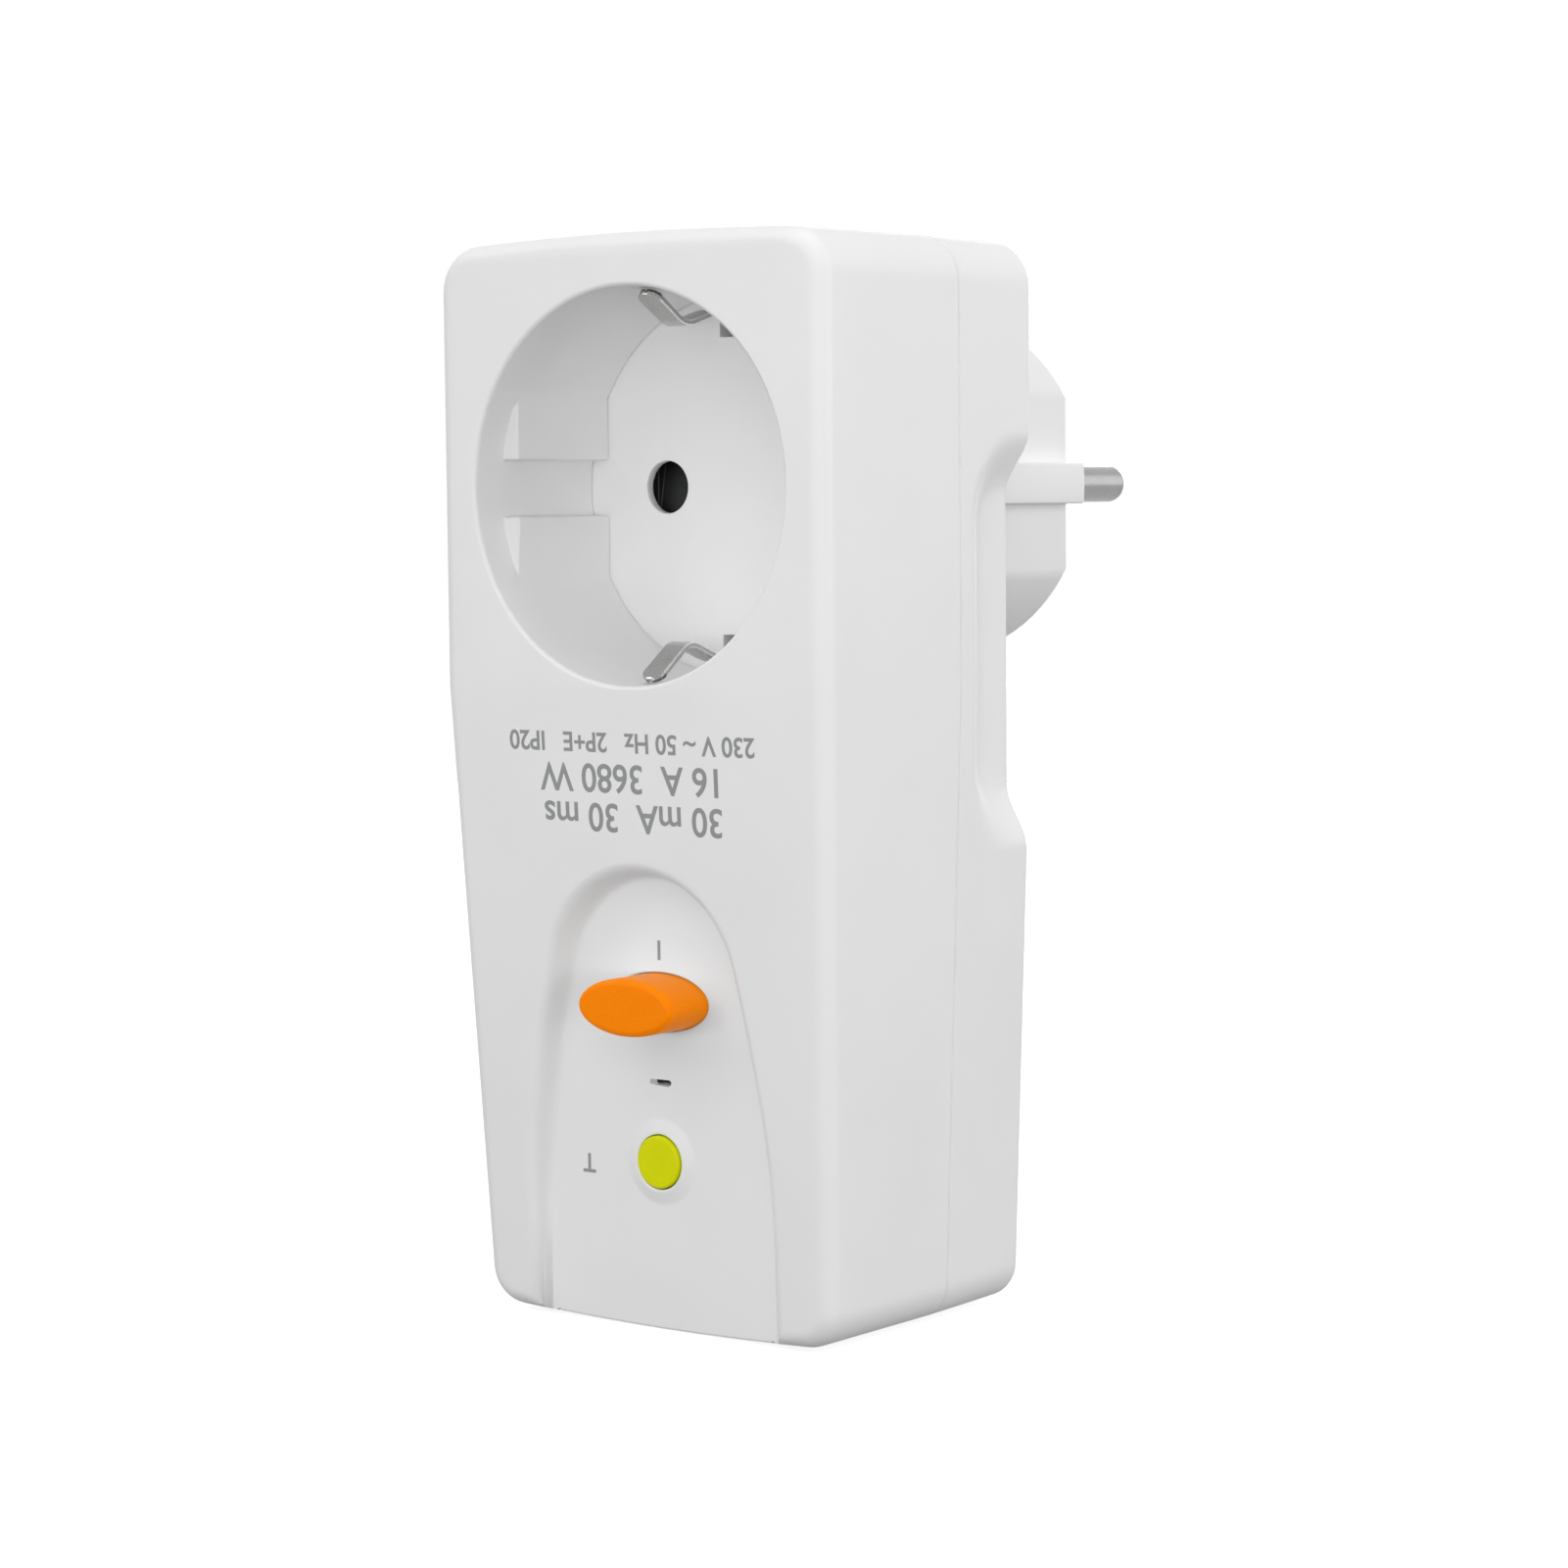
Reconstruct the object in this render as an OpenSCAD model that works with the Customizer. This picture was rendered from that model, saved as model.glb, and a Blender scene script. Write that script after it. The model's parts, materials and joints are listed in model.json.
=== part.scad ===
// RCD adapter plug: a plug-in residual current device with a socket on its front.
// Origin: on the face of the plug boss, midway between the two pins.
// +Y runs along the pins away from the user, +Z is up, +X is to the right seen from the front.
// A name that ends in _d is a depth, measured from the front face towards the pins.

/* [Body] */
// Width of the housing above the bend
body_w = 48.8; // [48:0.1:54]
// Depth of the housing from its front face to its rear face
body_d = 35.6; // [35:0.1:40]
// Height of the top edge above the socket axis
body_top = 24.4; // [24:0.1:30]
// Distance of the bottom edge below the socket axis
body_bottom = 83.7; // [82:0.1:95]
// Rise of the crowned top edge
top_crown = 0.45; // [0.2:0.05:1.5]
// Drop of the crowned bottom edge
bottom_crown = 0.45; // [0.2:0.05:1.5]
// Corner radius at the top
corner_top_r = 4.7; // [4:0.1:5.5]
// Corner radius at the bottom
corner_bottom_r = 4; // [3.5:0.1:5]
// Distance below the socket axis where the front begins to lean back
bend_drop = 19.8; // [18:0.1:24]
// Inward taper of the sides below the bend, per millimetre
side_taper = 0.035; // [0.01:0.002:0.045]
// Backward lean of the front below the bend, per millimetre
front_lean = 0.047; // [0.02:0.001:0.055]
// Rounding of the front edge
front_edge_r = 1.8; // [1:0.1:2.2]
// Rounding of the rear edge
rear_edge_r = 1.2; // [0.8:0.1:1.8]
// Depth of the parting line between the two housings
parting_d = 22.3; // [21.6:0.1:23.4]
// Mould draft, the inset of a section away from the parting line
draft = 0.12; // [0.04:0.02:0.3]
// Depth of the fine groove along the parting line
groove = 0.2; // [0.1:0.05:0.3]
// Wall of both housings
wall = 2; // [1.6:0.1:2.2]

/* [Finger grips] */
// How far a grip is sunk into the side
grip_depth = 3; // [2.5:0.1:3.8]
// Depth at which a grip begins
grip_d = 24; // [23.4:0.1:25.5]
// Height of a grip's upper end above the socket axis
grip_top = 5.3; // [3:0.1:9]
// Distance of a grip's lower end below the socket axis
grip_bottom = 37; // [34:0.1:42]
// Corner radius of a grip's outline
grip_corner_r = 9.4; // [8:0.1:11]
// Width of the soft slope round a grip
grip_slope = 6.4; // [4:0.1:8]

/* [Socket] */
// Radius of the socket cup
cup_r = 19.5; // [19.3:0.05:19.9]
// Depth of the cup down to its floor
cup_depth = 18.4; // [17.5:0.1:18.8]
// Wall of the cup
cup_wall = 2.1; // [1.8:0.1:2.3]
// Rounding of the cup's rim
rim_r = 0.45; // [0.3:0.05:1]
// Thickness of the cup's floor
floor_t = 2; // [1.6:0.1:2.4]
// Distance between the two pin holes
hole_pitch = 19; // [18.8:0.05:19.2]
// Radius of a pin hole
hole_r = 2.7; // [2.5:0.05:2.9]
// Thickness of the floor round a pin hole
hole_land = 1.1; // [0.8:0.05:1.4]
// Step of the pocket behind a pin hole
hole_step = 1.2; // [0.8:0.1:1.4]
// Distance of a guide block's flat from the socket axis
guide_flat = 17.2; // [16.8:0.1:17.8]
// Depth at which the guide blocks begin
guide_d = 4.1; // [3:0.1:6]
// Width of the channel that parts each guide block
channel_w = 5.74; // [5:0.02:6.4]

/* [Earth clips] */
// Width of the earth strap
clip_w = 2.7; // [2:0.1:3]
// Thickness of the earth strap
clip_t = 0.6; // [0.5:0.05:0.8]
// Depth of a clip's tip
clip_tip_d = 3.6; // [3.3:0.1:6]
// Distance of a clip's tip from the socket axis
clip_tip = 19.05; // [18:0.05:19.2]
// Depth of a clip's knee
clip_knee_d = 8.5; // [7.5:0.1:10]
// Distance of the upper clip's knee from the socket axis
clip_knee = 15.9; // [15:0.1:16.5]
// Distance of the lower clip's knee from the socket axis
lower_knee = 15.4; // [15.2:0.1:16.5]
// Depth at which a clip straightens
clip_root_d = 13.8; // [13:0.1:16]
// Distance of a clip's straight root from the socket axis
clip_root = 17.4; // [16.8:0.05:17.8]
// Depth of the relief cut into the cup wall behind a clip
relief = 0.9; // [0.5:0.1:1.2]
// Reach of the rounded bends in a clip
clip_bend = 1.4; // [0.8:0.1:2]
// Corner radius of a clip's tip
clip_tip_r = 1.25; // [0.8:0.05:1.3]
// Side clearance of a clip in its slot
clip_gap = 1.05; // [0.6:0.05:1.4]

/* [Plug] */
// Height of the plug boss behind the rear face
boss_h = 18.75; // [18:0.05:20]
// Radius of the plug boss
boss_r = 18.3; // [18:0.05:18.6]
// Distance of the boss's side flats from its axis
boss_flat = 15.93; // [15.6:0.05:16.6]
// Width of the rib on each flat
rib_w = 4.2; // [3.6:0.1:4.8]
// Thickness of the wall behind the boss's face
boss_face_t = 3; // [2.4:0.1:3.6]
// Radius of a plug pin
pin_r = 2; // [1.9:0.05:2.4]
// Length of a plug pin outside the boss
pin_len = 19.5; // [18.5:0.1:20]
// Rounding of a pin's tip
pin_tip_r = 1.4; // [0.8:0.1:1.6]
// Step of a pin's thicker root inside the boss
pin_root = 0.3; // [0.2:0.05:0.5]
// Radius of a pin's flange beyond the pin
pin_lip = 1.4; // [1:0.1:1.6]
// Thickness of a pin's flange
pin_flange_t = 2; // [1.5:0.1:2.5]
// Step between a pin and its riveted end
tab_lip = 0.5; // [0.3:0.05:0.7]
// Width of a plug earth contact
earth_w = 6; // [5:0.1:7]
// Thickness of a plug earth contact
earth_t = 1; // [0.8:0.05:1.2]
// Distance of a plug earth contact's outer face from the boss axis
earth_face = 17.6; // [17.3:0.05:17.8]

/* [Panel] */
// Distance of the arch's crown below the socket axis
panel_top = 36.7; // [35:0.1:39]
// Radius of the arch
arch_r = 12.8; // [12:0.1:14]
// Angle at which the arch passes into the flared sides
shoulder_a = 13; // [8:1:16]
// Width of the panel between its straight sides
panel_w = 33; // [31:0.1:34]
// Distance below the socket axis where the sides become straight
flare_end = 74; // [70:0.5:78]
// Depth of the panel's plane
panel_d = 4.45; // [4.1:0.05:5]
// Thickness of the panel
panel_t = 2.2; // [1.8:0.1:2.4]
// Width of the soft slope round the panel
panel_slope = 2.4; // [1.6:0.1:3]
// Share of the slope's width that rounds its upper edge
slope_brow = 0.9; // [0.4:0.05:1]
// Share of the slope's width that rounds its foot
slope_toe = 0.6; // [0.4:0.05:1]

/* [Buttons] */
// Width of the oval reset button
reset_w = 12; // [11:0.1:13.5]
// Height of the oval reset button
reset_h = 5.75; // [5:0.05:7]
// Distance of the reset button below the socket axis
reset_drop = 51.1; // [50:0.1:52]
// How far the reset button stands above the panel
reset_proud = 5.75; // [5.2:0.05:6.2]
// Travel of the reset button
reset_travel = 3.5; // [2.5:0.1:4]
// Rounding of the reset button's edge
reset_edge_r = 0.7; // [0.3:0.05:1]
// Radius of the test button
test_r = 2.65; // [2.4:0.05:3]
// Distance of the test button below the socket axis
test_drop = 67.1; // [66.6:0.1:68]
// How far the test button stands above the panel
test_proud = 0.65; // [0.5:0.05:1]
// Edge radius of the test button
test_edge_r = 0.25; // [0.15:0.05:0.4]
// Travel of the test button
test_travel = 1; // [0.6:0.1:1.2]
// Outer radius of the raised collar round the test button
collar_r = 4.6; // [4:0.1:5]
// Height of the collar
collar_h = 0.4; // [0.2:0.05:0.6]
// Radius of a retaining flange beyond its button
flange_lip = 1; // [0.6:0.1:1.3]
// Thickness of a retaining flange
flange_t = 1.2; // [0.8:0.1:1.4]
// Gap round a button in its hole
button_gap = 0.1; // [0.1:0.05:0.4]
// Width of the slot between the buttons
slot_w = 2.7; // [2:0.1:4]
// Height of the slot between the buttons
slot_h = 0.6; // [0.4:0.05:1]
// Distance of the slot below the socket axis
slot_drop = 59.15; // [58:0.05:60]

/* [Switch mechanism] */
// Length of the stem between reset flange and carriage
stem_len = 3.6; // [3:0.1:4]
// Width of the stem
stem_w = 8; // [6:0.1:9]
// Height of the stem
stem_h = 4; // [3:0.1:5]
// Width of the contact carriage
carriage_w = 29; // [27.5:0.1:30]
// Height of the contact carriage
carriage_h = 9.6; // [8.5:0.1:11]
// Thickness of the contact carriage
carriage_t = 2.5; // [2:0.1:3]
// Radius of the carriage's guide pin
guide_r = 1.6; // [1.2:0.05:1.8]
// Length of the guide pin past the contact base
guide_past = 0.4; // [0.2:0.1:0.8]
// Distance of each bridge from the middle
bridge_x = 11; // [10.5:0.1:11.6]
// Width of a bridge
bridge_w = 3.2; // [2.6:0.1:3.4]
// Thickness of a bridge and of a fixed contact
strip_t = 0.8; // [0.6:0.05:1]
// Distance between the two tips of a bridge
tip_pitch = 9.5; // [9:0.1:10]
// Radius of a contact tip
tip_r = 1.4; // [1:0.05:1.5]
// Thickness of a contact tip
tip_t = 0.8; // [0.5:0.05:1]
// Gap left between tips when the button is fully in
closed_gap = 0.1; // [0.05:0.05:0.3]
// Gap between the contact base and each side bar
base_gap = 1.3; // [0.8:0.05:1.6]
// Thickness of the contact base
base_t = 1.6; // [1.2:0.1:2]
// Length of the contact base's legs
base_leg = 4.6; // [4.2:0.1:4.8]
// Radius of the contact base's legs
leg_r = 1.2; // [0.8:0.1:1.4]
// Middle radius of the reset spring
spring_r = 2.7; // [2.5:0.05:3]
// Wire of the reset spring
spring_wire = 0.5; // [0.35:0.05:0.5]
// Turns of the reset spring
spring_turns = 3; // [2:0.5:3]
// Thickness of the armature
armature_t = 1.6; // [1.2:0.1:2]
// Width of the magnet yoke and the armature
yoke_w = 12; // [11:0.1:13]
// Height of the magnet yoke and the armature
yoke_h = 5.6; // [5:0.1:6]
// Distance of the holding magnet below the reset button
magnet_drop = 9.2; // [9:0.1:9.4]
// Thickness of the yoke's poles and back
yoke_t = 1.5; // [1.2:0.1:1.7]
// Radius of the magnet's core
core_r = 1.4; // [1:0.05:1.6]
// Outer radius of the coil bobbin
bobbin_r = 3.6; // [3.2:0.05:3.8]

/* [Board] */
// Width of the circuit board
board_w = 34.8; // [34:0.1:35.4]
// Thickness of the circuit board
board_t = 1.6; // [1.2:0.1:2]
// Distance of the board's upper edge below the socket axis
board_top = 37; // [36.8:0.1:37.4]
// Distance of the board's lower edge below the socket axis
board_bottom = 72.4; // [72:0.1:72.8]
// Radius of a standoff under the board
standoff_r = 2.2; // [1.8:0.1:2.4]
// Radius of the locating peg on a standoff
peg_r = 1; // [0.7:0.05:1.2]
// Distance of a standoff's axis from the board's edges
standoff_in = 2; // [1.8:0.1:2.4]
// Height of the test switch above the board
switch_h = 3.6; // [3.2:0.1:4.2]
// Width of the test switch
switch_w = 6; // [5.4:0.1:6.4]
// Radius of the test switch's plunger
plunger_r = 1.75; // [1.5:0.05:2]
// Height of the plunger above the switch
plunger_h = 3; // [2.4:0.1:3.6]

/* [Current transformer] */
// Outer radius of the winding
ct_r = 6; // [5.6:0.05:6.2]
// Inner radius of the winding
ct_bore_r = 3.1; // [3:0.05:3.3]
// Height of the winding
ct_h = 8; // [7:0.1:8.4]
// Distance of the transformer's top below the socket axis
ct_drop = 25.4; // [25:0.1:25.6]
// Thickness of the winding over the core
ct_layer = 0.8; // [0.5:0.05:0.9]

/* [Conductors] */
// Thickness of a busbar
bus_t = 1; // [0.8:0.05:1.2]
// Width of a busbar
bus_w = 3; // [2.6:0.1:3.2]
// Width of a busbar inside the transformer
bus_neck_w = 2; // [1.6:0.1:2]
// Gap between the two busbars inside the transformer
bus_gap = 1.2; // [1:0.1:1.4]
// Outer radius of a socket sleeve
sleeve_r = 3.2; // [3.1:0.05:3.3]
// Inner radius of a socket sleeve
sleeve_bore_r = 2.5; // [2.4:0.05:2.6]
// Length of a socket sleeve
sleeve_len = 13.6; // [12:0.1:14.5]
// Width of the bar that joins a sleeve to its fixed contact
bar_w = 2.8; // [2.2:0.1:3]
// Thickness of the contact carrier
carrier_t = 3; // [2.4:0.1:3.4]
// Height of the contact carrier
carrier_h = 12; // [9:0.1:13]

/* [Shutter] */
// Thickness of the shutter
shutter_t = 2.2; // [1.8:0.1:2.4]
// Width of a shutter arm
shutter_arm_w = 7.2; // [6.6:0.1:7.6]
// Reach of a shutter arm from the socket axis
shutter_reach = 13.2; // [12.6:0.1:13.6]
// Radius of the shutter's hub
shutter_hub_r = 4.6; // [4.2:0.1:5]
// Slope of the ramp that a pin pushes aside
ramp_a = 11; // [7:1:14]
// Radius of the shutter's pivot
pivot_r = 1.5; // [1.2:0.05:1.8]

/* [Fasteners] */
// Distance of the upper screws from the middle and above the socket axis
screw_upper = 18.8; // [18.4:0.1:19]
// Distance of the lower screws from the middle
screw_lower_x = 17.2; // [16.8:0.1:17.4]
// Distance of the lower screws below the socket axis
screw_lower_drop = 76.6; // [76.2:0.1:77]
// Radius of a screw's shank
screw_r = 1.5; // [1.2:0.05:1.6]
// Radius of a screw's head
head_r = 2.7; // [2.4:0.05:2.8]
// Thickness of a screw's head
head_t = 2; // [1.6:0.1:2.2]
// Wall round a screw hole
post_wall = 1.7; // [1.4:0.1:1.9]
// Clearance of a screw in its hole
screw_gap = 0.2; // [0.1:0.05:0.3]
// Depth reached by a screw's end
screw_end_d = 12; // [10:0.1:14]

/* [Hidden] */
$fn = 64;

// Joints between pieces
eps = 0.01;
seat_gap = 0.05;
slide_gap = 0.2;
near_gap = 0.1;

// Fineness of the lofted shapes
corner_steps = 8;
crown_steps = 8;
edge_steps = 6;
grip_steps = 9;
arch_steps = 24;
flare_steps = 8;
slope_steps = 10;
collar_steps = 6;
oval_steps = 48;
bend_steps = 6;
wire_sides = 6;
wire_steps = 14;

// Depths of the shell
boss_face_d = body_d + boss_h;
rear_in_d = body_d - wall;
cavity_d = panel_d + panel_t;
cup_out_r = cup_r + cup_wall;
waist_in = body_w / 2 - draft - grip_depth - wall;

// Depths of the socket, from its floor backwards
floor_back_d = cup_depth + floor_t;
shutter_d = floor_back_d + slide_gap;
shutter_back_d = shutter_d + shutter_t;
retainer_t = 0.5;
retainer_d = shutter_back_d + near_gap;
strap_d = retainer_d + retainer_t + 4 * slide_gap;
strap_t = clip_t;
carrier_d = strap_d + strap_t + 4 * slide_gap;
sleeve_d = strap_d - 4 * slide_gap;
tab_d = carrier_d - near_gap - strip_t;
post_r = 1.8;
post_z = 2 * sleeve_r + 3 * slide_gap + post_r;
bar_x = waist_in - strip_t - 9 * slide_gap;
carrier_screw_r = 1;

// Depths of the mechanism, from the panel backwards
reset_flange_d = cavity_d + seat_gap;
stem_d = reset_flange_d + flange_t;
carriage_d = stem_d + stem_len;
bridge_d = carriage_d + carriage_t;
bridge_tip_d = bridge_d + strip_t;
stroke = reset_travel + closed_gap;
fixed_tip_d = bridge_tip_d + tip_t + stroke;
fixed_d = fixed_tip_d + tip_t;
base_d = fixed_d + strip_t;
base_back_d = base_d + base_t;
board_d = base_back_d + base_leg;
board_back_d = board_d + board_t;
yoke_d = bridge_d + armature_t + stroke;
switch_d = board_d - switch_h;
plunger_d = switch_d - plunger_h;

// Heights of the mechanism
magnet_z = -reset_drop - magnet_drop;
upper_tip_z = -reset_drop + tip_pitch / 2 + near_gap * 8;
lower_tip_z = upper_tip_z - tip_pitch;
base_low_z = magnet_z + bobbin_r + slide_gap;
base_high_z = upper_tip_z + bridge_w;

// Conductors
pin_x = hole_pitch / 2;
pin_seat_d = boss_face_d - boss_face_t;
pin_flange_r = pin_r + pin_lip;
tab_hole_r = pin_r - tab_lip;
bus_tab_d = pin_seat_d - pin_flange_t - bus_t;
ct_d = rear_in_d - 2 * slide_gap - ct_r;
ct_top_z = -ct_drop;
ct_low_z = -ct_drop - ct_h;
run_z = -12;
run_x = 4.5;
neck_x = bus_gap / 2;
jog_z = -board_top + 2 * bus_t;

// Screws as [x, z]
screw_places = [
    [screw_upper, screw_upper], [-screw_upper, screw_upper],
    [screw_lower_x, -screw_lower_drop], [-screw_lower_x, -screw_lower_drop]
];
post_out_r = head_r + screw_gap + post_wall / 2;
head_seat_d = parting_d + 2 * wall;
standoff_x = board_w / 2 - standoff_in;
standoff_zs = [-board_top - standoff_in, -board_bottom + standoff_in];

// Frame helpers
function y_at(d) = d - boss_face_d;
function smooth(t) = t * t * (3 - 2 * t);
function clamp01(t) = min(1, max(0, t));
function arc(c, r, a0, a1, n) = [for (i = [0:n]) let (a = a0 + (a1 - a0) * i / n) c + r * [cos(a), sin(a)]];
function reversed(list) = [for (i = [len(list) - 1:-1:0]) list[i]];
function flipped(list) = [for (p = list) [-p[0], p[1]]];

// Half width and lean of the housing at a height
function below_bend(z) = max(0, -bend_drop - z);
function half_w(z) = body_w / 2 - side_taper * below_bend(z);
function lean(z) = front_lean * below_bend(z);

// Right half of the housing's outline at an inset, from the bend upwards and from the bend downwards
function upper_half(s, zs) = let (
    r = max(corner_top_r - s, groove),
    x = body_w / 2 - s - r,
    z = body_top - s
) concat(
    [[half_w(-bend_drop) - s, -bend_drop]],
    [for (h = zs) [half_w(h) - s, h]],
    arc([x, z - r], r, 0, 90, corner_steps),
    [for (i = [1:crown_steps]) let (u = 1 - i / crown_steps) [x * u, z + top_crown * (1 - u * u)]]
);
function lower_half(s, zs) = let (
    r = max(corner_bottom_r - s, groove),
    x = half_w(-body_bottom) - s - r,
    z = -body_bottom + s
) concat(
    [for (h = zs) [half_w(h) - s, h]],
    arc([x, z + r], r, 0, -90, corner_steps),
    [for (i = [1:crown_steps - 1]) let (u = 1 - i / crown_steps) [x * u, z - bottom_crown * (1 - u * u)]],
    [[0, z - bottom_crown]]
);
// Whole outline, anticlockwise from the right end of the bend
function outline(s, up = [], down = []) = let (
    top = upper_half(s, up),
    low = lower_half(s, down),
    top_side = [for (i = [0:len(top) - 2]) top[i]],
    low_side = [for (i = [0:len(low) - 2]) low[i]]
) concat(top, flipped(reversed(top_side)), flipped(low), reversed(low_side));
// Number of the point at the left end of the bend
function left_bend(up) = 2 * (len(upper_half(0, up)) - 1);

// How far the finger grip sinks the side at a depth and a height
function grip_inside(u, v) = (u < grip_corner_r && v < grip_corner_r)
    ? grip_corner_r - norm([grip_corner_r - u, grip_corner_r - v])
    : min(u, v);
function grip_sink(d, z) = (grip_depth + half_w(z) - body_w / 2) *
    smooth(clamp01(grip_inside(d - grip_d, min(grip_top - z, z + grip_bottom)) / grip_slope));

// Outline of the sunken panel at an inset, anticlockwise from its lower right end
function panel_side(s) = let (
    c = -panel_top - arch_r,
    r = arch_r - s,
    x0 = r * cos(shoulder_a),
    z0 = c + r * sin(shoulder_a)
) [for (i = [0:flare_steps]) let (t = 1 - i / flare_steps)
    [x0 + (panel_w / 2 - s - x0) * sin(90 * t), z0 - (z0 + flare_end) * t]];
function panel_outline(s) = let (
    side = panel_side(s),
    foot = [panel_w / 2 - s, -body_bottom - bottom_crown - wall],
    arch = arc([0, -panel_top - arch_r], arch_r - s, shoulder_a, 180 - shoulder_a, arch_steps),
    inner_arch = [for (i = [1:arch_steps - 1]) arch[i]]
) concat([foot], side, inner_arch, flipped(reversed(side)), flipped([foot]));

function oval(w, h) = [for (i = [0:oval_steps - 1]) let (a = 360 * i / oval_steps)
    [w / 2 * cos(a), h / 2 * sin(a)]];

// Centre line of a strip, thickened to a polygon by mitred normals
function unit(v) = v / norm(v);
function turn_left(v) = [-v[1], v[0]];
function strip_normal(path, i) = let (
    a = unit(path[min(i + 1, len(path) - 1)] - path[min(i, len(path) - 2)]),
    b = unit(path[max(i, 1)] - path[max(i - 1, 0)]),
    n = unit(turn_left(a) + turn_left(b))
) n / (n * turn_left(a));
function strip_polygon(path, t) = concat(
    [for (i = [0:len(path) - 1]) path[i] + t / 2 * strip_normal(path, i)],
    reversed([for (i = [0:len(path) - 1]) path[i] - t / 2 * strip_normal(path, i)])
);

// Rounded corner of a centre line at b, between a and c
function bend(a, b, c, t) = let (p = b + t * unit(a - b), q = b + t * unit(c - b))
    [for (i = [0:bend_steps]) let (u = i / bend_steps, v = 1 - u) v * v * p + 2 * u * v * b + u * u * q];

// Solid through rings of points, each ring anticlockwise seen from the first.
// With the number of the point opposite the first one, both ends are closed by fans from the middle.
module skin(rings, opposite = undef) {
    n = len(rings[0]);
    m = len(rings);
    fan = !is_undef(opposite);
    top = (m - 1) * n;
    hubs = fan ? [for (r = [rings[0], rings[m - 1]]) (r[0] + r[opposite]) / 2] : [];
    near = fan ? [for (j = [0:n - 1]) [m * n, (j + 1) % n, j]] : [[for (j = [n - 1:-1:0]) j]];
    sides = [for (i = [0:m - 2], j = [0:n - 1]) let (a = i * n + j, b = i * n + (j + 1) % n)
        each [[a, b, b + n], [a, b + n, a + n]]];
    far = fan
        ? [for (j = [0:n - 1]) [m * n + 1, top + j, top + (j + 1) % n]]
        : [[for (j = [0:n - 1]) top + j]];
    polyhedron(concat([for (r = rings) each r], hubs), concat(near, sides, far), convexity = 6);
}

// Outlines drawn in X and Z and run along the depth
module depth_prism(d0, d1) {
    translate([0, y_at(d1), 0]) rotate([90, 0, 0]) linear_extrude(d1 - d0) children();
}
module depth_rod(r, d0, d1, x = 0, z = 0) {
    depth_prism(d0, d1) translate([x, z]) circle(r);
}
module depth_box(x0, x1, z0, z1, d0, d1) {
    translate([x0, y_at(d0), z0]) cube([x1 - x0, d1 - d0, z1 - z0]);
}
// Profile in radius and depth, turned round an axis along the depth
module depth_revolve(x = 0, z = 0) {
    translate([x, y_at(0), z]) rotate([-90, 0, 0]) rotate_extrude() children();
}
// Outline drawn in depth and Z and run along X
module side_prism(x0, x1) {
    translate([x0, y_at(0), 0]) rotate([90, 0, 90]) linear_extrude(x1 - x0) children();
}
module both_sides() {
    children();
    mirror([1, 0, 0]) children();
}
module both_ends() {
    children();
    mirror([0, 0, 1]) children();
}
// Square of a ring's corner that a rounding takes away
module corner_waste(r) {
    difference() {
        square(r + eps);
        circle(r);
    }
}

// Housings
function front_ring(s, d) = [for (p = outline(s)) [p[0], y_at(d + lean(p[1])), p[1]]];
function parting_ring(s, d) = [for (p = outline(s)) [p[0], y_at(d), p[1]]];
module front_shell() {
    edge = [for (i = [0:edge_steps]) let (a = 90 * i / edge_steps)
        front_ring(draft + front_edge_r * (1 - sin(a)), front_edge_r * (1 - cos(a)))];
    skin(concat(edge, [parting_ring(0, parting_d - groove), parting_ring(groove, parting_d)]), left_bend([]));
}
// Inset along the panel's slope, flat at its upper edge and at its foot
function slope_inset(t) = let (u = 1 - t)
    panel_slope * (3 * slope_brow * u * u * t + 3 * (1 - slope_toe) * u * t * t + t * t * t);
function slope_ring(t) = [for (p = panel_outline(slope_inset(t))) let (d = lean(p[1]) - seat_gap / 2)
    [p[0], y_at(d + (panel_d - d) * smooth(t)), p[1]]];
module panel_recess() {
    mouth = [for (p = panel_outline(0)) [p[0], y_at(-wall), p[1]]];
    skin(concat([mouth], [for (i = [0:slope_steps]) slope_ring(i / slope_steps)]));
}
module front_cavity() {
    difference() {
        depth_prism(cavity_d, parting_d + eps) polygon(outline(wall + draft));
        depth_rod(cup_out_r, 0, cup_depth);
        for (p = screw_places) depth_rod(post_out_r, 0, parting_d + 2 * eps, p[0], p[1]);
    }
}
module guide_blocks() {
    both_sides() both_ends() depth_prism(guide_d, cup_depth) intersection() {
        circle(cup_r + cup_wall / 2);
        translate([guide_flat, channel_w / 2]) square(cup_r);
    }
}
module earth_relief() {
    half = clip_w / 2 + 2 * slide_gap;
    both_ends() depth_prism(clip_tip_d + clip_t, cup_depth + eps) intersection() {
        circle(cup_r + relief);
        translate([-half, cup_r / 2]) square([2 * half, cup_r]);
    }
}
module test_collar() {
    inner = test_r + button_gap;
    crown = [for (i = [0:collar_steps]) let (t = i / collar_steps)
        [inner + (collar_r - inner) * t, panel_d - collar_h + (collar_h + eps) * smooth(t)]];
    depth_revolve(0, -test_drop) polygon(concat(crown, [[inner, panel_d + 2 * eps]]));
}
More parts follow.
